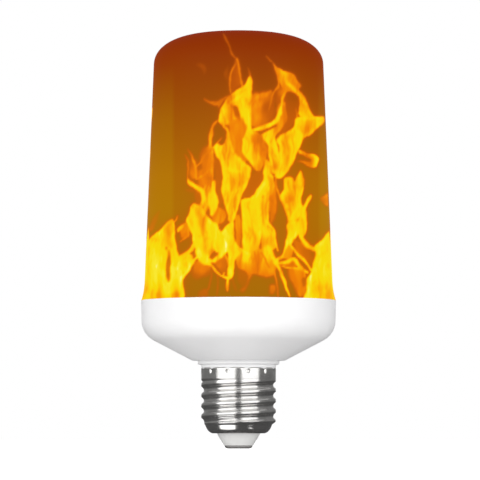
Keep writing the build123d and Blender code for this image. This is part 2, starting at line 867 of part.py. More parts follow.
neutral_lead = insulated_lead(
    (cap_root_radius - cap_wall - loose_fit, 0, neutral_z),
    (neutral_lead_bend_x, 0, neutral_z),
    (neutral_lead_x, lead_y, driver_slot_stop_z - loose_fit),
    (neutral_lead_x, lead_y, lead_joint_z),
)
neutral_lead.label = "neutral_lead"
export_step(neutral_lead, "parts/neutral_lead.step")

pin_end_z = controller_board_z - connector_wall - connector_pin_length
with BuildPart() as led_leads:
    for k in range(connector_pins):
        lead_x = (k - (connector_pins - 1) / 2) * connector_pitch
        add(
            insulated_lead(
                (lead_x, lead_y, driver_board_top_z - led_lead_bottom_drop),
                (lead_x, lead_y, driver_board_top_z - led_lead_low_bend_drop),
                (lead_x, connector_y, driver_board_top_z - led_lead_high_bend_drop),
                (lead_x, connector_y, pin_end_z),
            )
        )
led_leads.part.label = "led_leads"
export_step(led_leads.part, "parts/led_leads.step")
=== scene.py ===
"""Looks of a flame effect LED bulb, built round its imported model.

Sizes are in metres. The bulb stands cap down on the origin, Z is its axis, and its front
is towards -Y. The cover and the screw cap are surfaces worked out here; the other pieces
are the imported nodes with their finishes.
"""

import bpy
import numpy as np
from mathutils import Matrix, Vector


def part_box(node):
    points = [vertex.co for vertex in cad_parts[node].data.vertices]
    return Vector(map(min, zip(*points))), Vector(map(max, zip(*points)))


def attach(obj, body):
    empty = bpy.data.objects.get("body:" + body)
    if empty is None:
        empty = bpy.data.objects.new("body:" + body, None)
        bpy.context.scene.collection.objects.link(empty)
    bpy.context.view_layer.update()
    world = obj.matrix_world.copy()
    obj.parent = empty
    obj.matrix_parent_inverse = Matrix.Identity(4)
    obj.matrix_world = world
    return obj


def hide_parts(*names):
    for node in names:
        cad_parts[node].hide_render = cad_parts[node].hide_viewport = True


bl_info = {
    "name": "Flame Effect Bulb",
    "version": (1, 0, 0),
    "blender": (4, 5, 0),
    "location": "3D View > Sidebar > Flame Bulb",
    "description": "Makes the cover, screw cap, finishes and studio of a flame effect bulb",
    "category": "Object",
}

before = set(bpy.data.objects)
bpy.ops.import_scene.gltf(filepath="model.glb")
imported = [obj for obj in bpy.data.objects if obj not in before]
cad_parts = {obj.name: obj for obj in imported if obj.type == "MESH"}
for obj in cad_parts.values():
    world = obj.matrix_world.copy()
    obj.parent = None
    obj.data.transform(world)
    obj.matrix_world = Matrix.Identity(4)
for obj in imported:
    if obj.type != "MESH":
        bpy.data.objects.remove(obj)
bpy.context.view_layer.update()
MM = 0.001

COVER_LOW, COVER_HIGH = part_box("diffuser_cover")
CAP_LOW, CAP_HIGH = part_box("screw_shell")
HOUSING_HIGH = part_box("base_housing")[1]
INSULATOR_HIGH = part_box("cap_insulator")[1]

SEAM_Z = HOUSING_HIGH.z
HOUSING_RADIUS = HOUSING_HIGH.x
COVER_TOP = COVER_HIGH.z
CROWN_TOP = COVER_TOP - 0.5 * MM  # a little flatter than the solid's

EYE_DISTANCE, EYE_HEIGHT = 1250 * MM, 4 * MM  # the photograph's eye, ahead of the axis


# Helpers


def smooth_step(value, start, end):
    """Rise from 0 to 1 between start and end, level at both: 3t^2 - 2t^3."""
    t = np.clip((value - start) / (end - start), 0.0, 1.0)
    return t * t * (3.0 - 2.0 * t)


def bell(value, middle, spread):
    """Curve that is 1 at the middle and falls away on both sides: exp(-d^2), d in spreads."""
    return np.exp(-(((value - middle) / spread) ** 2))


def make_mesh(name, points, quads, triangles=None):
    """Object with a smooth-shaded mesh from arrays of points and corner numbers."""
    triangles = np.zeros((0, 3), int) if triangles is None else triangles
    mesh = bpy.data.meshes.new(name)
    corners = np.concatenate([quads.ravel(), triangles.ravel()]).astype(np.int32)
    starts = np.concatenate(
        [np.arange(len(quads)) * 4, quads.size + np.arange(len(triangles)) * 3]
    ).astype(np.int32)
    mesh.vertices.add(len(points))
    mesh.vertices.foreach_set("co", points.astype(np.float32).ravel())
    mesh.loops.add(len(corners))
    mesh.loops.foreach_set("vertex_index", corners)
    mesh.polygons.add(len(starts))
    mesh.polygons.foreach_set("loop_start", starts)
    mesh.polygons.foreach_set("use_smooth", np.ones(len(starts), bool))
    mesh.update(calc_edges=True)
    mesh.validate()
    piece = bpy.data.objects.new(name, mesh)
    bpy.context.scene.collection.objects.link(piece)
    return piece


def ring_quads(rows, columns, closed_rows=False):
    """Corner numbers of a grid of rows by columns that closes round its columns."""
    last = rows if closed_rows else rows - 1
    i, j = np.meshgrid(np.arange(last), np.arange(columns), indexing="ij")
    a = i * columns + j
    b = i * columns + (j + 1) % columns
    c = ((i + 1) % rows) * columns + (j + 1) % columns
    d = ((i + 1) % rows) * columns + j
    return np.stack([a, b, c, d], axis=-1).reshape(-1, 4)


def pole_triangles(ring_start, columns, pole, flip=False):
    """Fan that closes a ring of the grid to one pole point."""
    j = np.arange(columns)
    a, b = ring_start + j, ring_start + (j + 1) % columns
    p = np.full(columns, pole)
    return np.stack([b, a, p] if flip else [a, b, p], axis=-1)


def turned(radii, heights, angles):
    """Points of a surface of revolution: x = r sin a, y = -r cos a, so angle 0 is the front."""
    x = radii * np.sin(angles)
    y = -radii * np.cos(angles)
    return np.stack(np.broadcast_arrays(x, y, heights), axis=-1).reshape(-1, 3)


# Nodes of materials


GRAIN_SCALE, WEAVE_SCALE, SCRATCH_SCALE = 2500.0, 4000.0, 900.0
BROAD_SCALE, SMUDGE_SCALE = 45.0, 160.0
SCRATCH_STRETCH = (0.12, 0.12, 1.0)
TRACK_SCALE, TRACK_WIDTH, TRACK_RELIEF = 260.0, 0.12, 0.5


class Nodes:
    """Short way to add and join the nodes of one material or group."""

    def __init__(self, tree):
        self.tree = tree
        tree.nodes.clear()

    def add(self, kind, **values):
        """New node with these of its properties set."""
        node = self.tree.nodes.new(kind)
        for name, value in values.items():
            setattr(node, name, value)
        return node

    def join(self, output, socket):
        """Link an output to a socket."""
        self.tree.links.new(output, socket)

    def fill(self, socket, value):
        """Set a socket to a number or a colour, or link an output to it."""
        if isinstance(value, (int, float)):
            socket.default_value = value
        elif isinstance(value, (tuple, list)):
            socket.default_value = (*value, 1.0)
        else:
            self.join(value, socket)

    def math(self, operation, a, b=0.0, c=0.0, clamp=False):
        """Result of a sum on numbers and outputs."""
        node = self.add("ShaderNodeMath", operation=operation, use_clamp=clamp)
        for socket, value in zip(node.inputs, (a, b, c)):
            self.fill(socket, value)
        return node.outputs[0]

    def product(self, *factors):
        """All the factors multiplied."""
        result = factors[0]
        for factor in factors[1:]:
            result = self.math("MULTIPLY", result, factor)
        return result

    def past(self, value, limit, slope):
        """Mask that rises from 0 at the limit to 1. A negative slope turns it the other way."""
        return self.math("MULTIPLY_ADD", value, slope, -slope * limit, clamp=True)

    def ramp(self, factor, stops):
        """Colour of a ramp with these stops: (place, colour)."""
        node = self.add("ShaderNodeValToRGB")
        elements = node.color_ramp.elements
        while len(elements) < len(stops):
            elements.new(0.5)
        for element, (place, colour) in zip(elements, stops):
            element.position = place
            element.color = (*colour, 1.0)
        self.join(factor, node.inputs["Fac"])
        return node.outputs["Color"]

    def mix(self, factor, a, b):
        """Colour a where the factor is 0 and b where it is 1."""
        node = self.add("ShaderNodeMix", data_type="RGBA")
        for socket, value in ((node.inputs[0], factor), (node.inputs[6], a), (node.inputs[7], b)):
            self.fill(socket, value)
        return node.outputs[2]

    def noise(self, vector, scale, detail, roughness=0.5):
        """Noise from 0 to 1. The scale is a number or an output."""
        node = self.add("ShaderNodeTexNoise")
        self.fill(node.inputs["Scale"], scale)
        node.inputs["Detail"].default_value = detail
        node.inputs["Roughness"].default_value = roughness
        self.join(vector, node.inputs["Vector"])
        return node.outputs["Fac"]


def linear(red, green, blue):
    """Linear colour from a colour as the eye reads it on a screen, 0 to 255."""
    screen = np.array([red, green, blue]) / 255.0
    low = screen / 12.92
    high = ((screen + 0.055) / 1.055) ** 2.4
    return tuple(float(v) for v in np.where(screen <= 0.04045, low, high))


def darkened(colour, loss):
    """The colour with a share of its light lost."""
    return tuple(c * (1.0 - loss) for c in colour)


def new_group(name, scale_name, scale, mask_name):
    """Shader node group that makes a mask and a Height from a Vector and a scale."""
    group = bpy.data.node_groups.new(name, "ShaderNodeTree")
    nodes = Nodes(group)
    group.interface.new_socket("Vector", in_out="INPUT", socket_type="NodeSocketVector")
    socket = group.interface.new_socket(scale_name, in_out="INPUT", socket_type="NodeSocketFloat")
    socket.default_value = scale
    for title in (mask_name, "Height"):
        group.interface.new_socket(title, in_out="OUTPUT", socket_type="NodeSocketFloat")
    start = nodes.add("NodeGroupInput")
    end = nodes.add("NodeGroupOutput")
    return group, nodes, start, end


def moulded_grain_group():
    """Fine moulded grain: a mask of broad tone and the height of a fine texture."""
    group, nodes, start, end = new_group("moulded grain", "Grain Scale", GRAIN_SCALE, "Tone")
    vector = start.outputs["Vector"]
    fine = nodes.noise(vector, start.outputs["Grain Scale"], detail=2.0)
    broad = nodes.noise(vector, BROAD_SCALE, detail=3.0)
    nodes.join(broad, end.inputs["Tone"])
    nodes.join(fine, end.inputs["Height"])
    return group


def worn_metal_group():
    """Worn plate: a smudge mask, and the height of fine scratches drawn round the part."""
    group, nodes, start, end = new_group("worn metal", "Scratch Scale", SCRATCH_SCALE, "Smudge")
    vector = start.outputs["Vector"]
    smudge = nodes.noise(vector, SMUDGE_SCALE, detail=4.0, roughness=0.6)
    stretch = nodes.add("ShaderNodeMapping")
    stretch.inputs["Scale"].default_value = SCRATCH_STRETCH
    nodes.join(vector, stretch.inputs["Vector"])
    lines = nodes.noise(stretch.outputs["Vector"], start.outputs["Scratch Scale"], detail=3.0)
    nodes.join(smudge, end.inputs["Smudge"])
    nodes.join(lines, end.inputs["Height"])
    return group


GROUPS = {"moulded grain": moulded_grain_group, "worn metal": worn_metal_group}


def group_node(nodes, name, vector, scale):
    """Put a shared group in a material. The group is made when it is first needed."""
    group = bpy.data.node_groups.get(name) or GROUPS[name]()
    node = nodes.add("ShaderNodeGroup", node_tree=group)
    for socket, value in zip(node.inputs, (vector, scale)):
        nodes.fill(socket, value)
    return node


def new_material(name, metallic=0.0, roughness=0.5, specular=0.5):
    """Material with its shader and output in place, and Object coordinates at hand."""
    material = bpy.data.materials.new(name)
    material.use_nodes = True
    nodes = Nodes(material.node_tree)
    shader = nodes.add("ShaderNodeBsdfPrincipled")
    output = nodes.add("ShaderNodeOutputMaterial")
    nodes.join(shader.outputs["BSDF"], output.inputs["Surface"])
    shader.inputs["Metallic"].default_value = metallic
    shader.inputs["Roughness"].default_value = roughness
    shader.inputs["Specular IOR Level"].default_value = specular
    where = nodes.add("ShaderNodeTexCoord").outputs["Object"]
    return material, nodes, shader, where


def bump(nodes, shader, height, strength, distance):
    """Give a shader the relief of a height."""
    node = nodes.add("ShaderNodeBump")
    node.inputs["Strength"].default_value = strength
    node.inputs["Distance"].default_value = distance
    nodes.join(height, node.inputs["Height"])
    nodes.join(node.outputs["Normal"], shader.inputs["Normal"])


def uneven_gloss(nodes, shader, mask, middle, spread):
    """Let the roughness follow a mask, over a spread round its middle."""
    gloss = nodes.math("MULTIPLY_ADD", mask, spread, middle - spread / 2)
    nodes.join(gloss, shader.inputs["Roughness"])


def plastic(name, colour, roughness):
    """Moulded plastic: a colour that drifts a little, a grained surface and uneven gloss."""
    material, nodes, shader, where = new_material(name, roughness=roughness)
    grained = group_node(nodes, "moulded grain", where, GRAIN_SCALE)
    tone = nodes.ramp(grained.outputs["Tone"], [(0.3, darkened(colour, 0.06)), (0.7, colour)])
    nodes.join(tone, shader.inputs["Base Color"])
    uneven_gloss(nodes, shader, grained.outputs["Tone"], roughness, 0.12)
    bump(nodes, shader, grained.outputs["Height"], strength=0.25, distance=0.02 * MM)
    return material


def plated(name, colour, roughness, metallic=1.0):
    """Plated or bare metal: fine scratches and smudges that dull the polish."""
    material, nodes, shader, where = new_material(name, metallic=metallic, roughness=roughness)
    worn = group_node(nodes, "worn metal", where, SCRATCH_SCALE)
    tone = nodes.ramp(worn.outputs["Smudge"], [(0.35, darkened(colour, 0.14)), (0.6, colour)])
    nodes.join(tone, shader.inputs["Base Color"])
    uneven_gloss(nodes, shader, worn.outputs["Smudge"], roughness, 0.1)
    bump(nodes, shader, worn.outputs["Height"], strength=0.2, distance=0.012 * MM)
    return material


def circuit_board(name, mask, trace):
    """Circuit board: a solder mask with paler tracks under it and a woven grain."""
    material, nodes, shader, where = new_material(name, roughness=0.35)
    cells = nodes.add("ShaderNodeTexVoronoi", feature="DISTANCE_TO_EDGE")
    cells.inputs["Scale"].default_value = TRACK_SCALE
    nodes.join(where, cells.inputs["Vector"])
    tracks = nodes.math("LESS_THAN", cells.outputs["Distance"], TRACK_WIDTH)
    grained = group_node(nodes, "moulded grain", where, WEAVE_SCALE)
    tone = nodes.mix(grained.outputs["Tone"], darkened(mask, 0.2), mask)
    nodes.join(nodes.mix(tracks, tone, trace), shader.inputs["Base Color"])
    height = nodes.math("MULTIPLY_ADD", tracks, TRACK_RELIEF, grained.outputs["Height"])
    bump(nodes, shader, height, strength=0.3, distance=0.02 * MM)
    return material


def finish_node(name, material):
    """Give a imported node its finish."""
    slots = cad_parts[name].data.materials
    slots.clear()
    slots.append(material)


# Sizes and colours that a user would change


def length_of(name, description, millimetres):
    """Property that holds a length. Its default is given in millimetres."""
    return bpy.props.FloatProperty(
        name=name, description=description, default=millimetres * MM, unit="LENGTH"
    )


def count_of(name, description, default, least):
    """Property that holds a number of points."""
    return bpy.props.IntProperty(name=name, description=description, default=default, min=least)


def colour_of(name, description, default):
    """Property that holds a colour."""
    return bpy.props.FloatVectorProperty(
        name=name, description=description, subtype="COLOR", default=default
    )


class CoverSettings(bpy.types.PropertyGroup):
    """Sizes of the cover and the glow of its flames."""

    columns: count_of("Columns", "Points round the cover", 380, 32)
    outer_rows: count_of("Outer rows", "Points up the outside", 240, 24)
    wall: length_of("Wall", "Thickness of the cover", 1.4)
    flare_height: length_of("Flare height", "Height of the flared foot", 7.0)
    flare_width: length_of("Flare width", "How far the foot flares out", 1.2)
    taper_width: length_of("Taper", "How far the side leans in", 3.05)
    crown_radius: length_of("Crown", "Radius of the flat top", 7.7)
    shoulder_height: length_of("Shoulder", "Height of the round top edge", 12.0)
    glow: bpy.props.FloatProperty(
        name="Glow", description="Strength of the light from the cover", default=1.0, min=0.0
    )


class CapSettings(bpy.types.PropertyGroup):
    """Sizes of the screw cap and the colour of its metal."""

    pitch: length_of("Pitch", "Rise of one turn of the thread", 3.629)
    depth: length_of("Depth", "Depth of the thread", 0.88)
    wall: length_of("Wall", "Thickness of the sheet", 0.3)
    columns: count_of("Columns", "Points round the cap", 288, 48)
    rows: count_of("Rows", "Points up the cap", 190, 48)
    metal: colour_of("Metal", "Colour of the plating", (0.78, 0.77, 0.75))


class BodySettings(bpy.types.PropertyGroup):
    """Colours of the plastic pieces."""

    housing: colour_of("Housing", "Colour of the housing", (0.86, 0.86, 0.86))
    insulator: colour_of("Insulator", "Colour of the insulator", (0.8, 0.8, 0.78))


# Cover


COVER_INSET, SKIRT_INSET = 0.05 * MM, 1.1 * MM  # from the housing's widest radius
FLARE_POINTS, CROWN_POINTS, INNER_ROWS = 24, 60, 16
CROWN_POWER = 0.87  # below 1, so the crown's edge is fuller than a quarter ellipse
FRONT_CROWDING = 0.45  # how much closer the columns stand at the front


def cover_profile(settings, inset, rows):
    """Half outline of the cover from its seam to its axis: a flared foot as a cubic, a
    straight taper, a round crown and a flat middle, all moved in by inset. The crown is a
    quarter ellipse with the sine and cosine raised to CROWN_POWER."""
    foot = HOUSING_RADIUS - COVER_INSET - inset
    flare = foot - settings.flare_width
    flare_z = SEAM_Z + settings.flare_height
    shoulder = flare - settings.taper_width
    shoulder_z = COVER_TOP - settings.shoulder_height
    top = CROWN_TOP - inset

    t = np.linspace(0.0, 1.0, FLARE_POINTS)[:, None]
    start = np.array([foot, SEAM_Z])
    end = np.array([flare, flare_z])
    span = np.linalg.norm(end - start)
    lean_in = np.array([-settings.flare_width, settings.flare_height / 2])
    lean_out = np.array([-settings.taper_width, shoulder_z - flare_z])
    lean_in = lean_in / np.linalg.norm(lean_in) * span
    lean_out = lean_out / np.linalg.norm(lean_out) * span
    flare_line = (2 * t**3 - 3 * t**2 + 1) * start + (t**3 - 2 * t**2 + t) * lean_in
    flare_line = flare_line + (-2 * t**3 + 3 * t**2) * end
    flare_line = flare_line + (t**3 - t**2) * lean_out

    turn = np.linspace(0.0, np.pi / 2, CROWN_POINTS)[1:]
    outward = np.maximum(np.cos(turn), 0.0) ** CROWN_POWER
    upward = np.sin(turn) ** CROWN_POWER
    radii = settings.crown_radius + (shoulder - settings.crown_radius) * outward
    heights = shoulder_z + (top - shoulder_z) * upward
    crown = np.stack([radii, heights], axis=-1)
    line = np.concatenate([flare_line, [[shoulder, shoulder_z]], crown, [[0.0, top]]])
    along = np.concatenate([[0.0], np.cumsum(np.linalg.norm(np.diff(line, axis=0), axis=1))])
    places = np.linspace(0.0, along[-1], rows + 1)[:-1]
    return np.stack([np.interp(places, along, line[:, k]) for k in (0, 1)], axis=-1)


# Flames on the cover


# Where the drawing lies on the cover
DRAWING_STEP = 0.35 * MM
DRAWING_FOOT = 52.57 * MM  # the height where it starts
DRAWING_HALF = 92.0  # half of its width, in steps, where it is laid round the back
JOIN_TURN = np.radians(77.0)  # where the front's drawing meets those round the back
JOIN_FADE = np.radians(7.0)
JOIN_SLANT = (50, 80)  # heights, in steps, between which those round the back get narrower
FRONT_TOP = (9 * MM, 16 * MM)  # radii between which the front's drawing fades in the crown
BACK_TOP = (13 * MM, 7 * MM)  # the same for the others, in depths below the cover's top
SIDE_DRAWINGS = ((1, 0.95), (-1, 1.04))  # side, share of the drawing's height

# How the shapes are painted, in drawing steps
GRID = 0.6
ACROSS_LOW, ACROSS_HIGH, UP_LOW, UP_HIGH = -106.0, 106.0, -6.0, 276.0
CURVE_STEPS = 5
TINY = 1e-9  # keeps a division from meeting zero
EDGE_SHARE = 0.6  # of a body's softness, on each side of its outline
HELD_GAP, HELD_POWER = 1.5, 3  # how a point's heat weighs less with the distance
RIM_DEPTH, RIM_SPREAD = 2.2, 1.6
RIM_GAIN, INSIDE_LOSS, RIM_HEATS = 0.1, 0.03, (0.6, 0.75)  # a hot body has a hotter rim
TIP_SHARE, SWELL_POWER = 0.45, 0.6  # a strand's width at its ends, and how it swells
STRAND_EDGE = (0.35, 1.25)  # where a strand fades, in half widths

# Noise in the flames: width and height of a patch in drawing steps, seed
LEAN_NOISE, WOBBLE_NOISE, LIFT_NOISE = (26, 30, 40), (6, 9, 11), (7, 9, 21)
RIDGE_NOISE, CREASE_NOISE = (7.0, 40, 31), (4.2, 26, 71)
PATCH_NOISE, FILAMENT_NOISE = (9.0, 22, 61), (3.4, 24, 81)
NOISE_SIZE = 64
NOISE_START = (7, 9)  # the place in the noise where the drawing's axis and foot lie
LEAN, WOBBLE = 12.0, 3.0  # in drawing steps
RIDGES, CREASES, PATCHES, FILAMENTS = 0.16, 0.14, 0.4, 0.1  # in shares of the full heat
RIDGE_LEVEL, PATCH_LEVEL = 0.2, 0.48  # taken off, so the noise warms and cools alike
CREASE_LEVEL, FILAMENT_LEVEL, LINE_SPREAD = 0.5, 0.55, 0.05
STIR_HEATS = (0.3, 0.7)  # the noise sets in between these heats

# Heat in shares of the full heat, and blurs in drawing steps
FOOT_GAIN, FOOT_HEIGHTS = 0.07, (50.0, 120.0)
TOP_HEAT, TOP_LOSS = 0.88, 0.7  # above this heat, a share of what is over it is lost
EDGE_BLUR, NEAR_BLUR, FAR_BLUR = 0.45, 2.5, 9.0
NEAR_GLOW, FAR_GLOW, GLOW_HEATS = 0.2, 0.22, (0.05, 0.3)

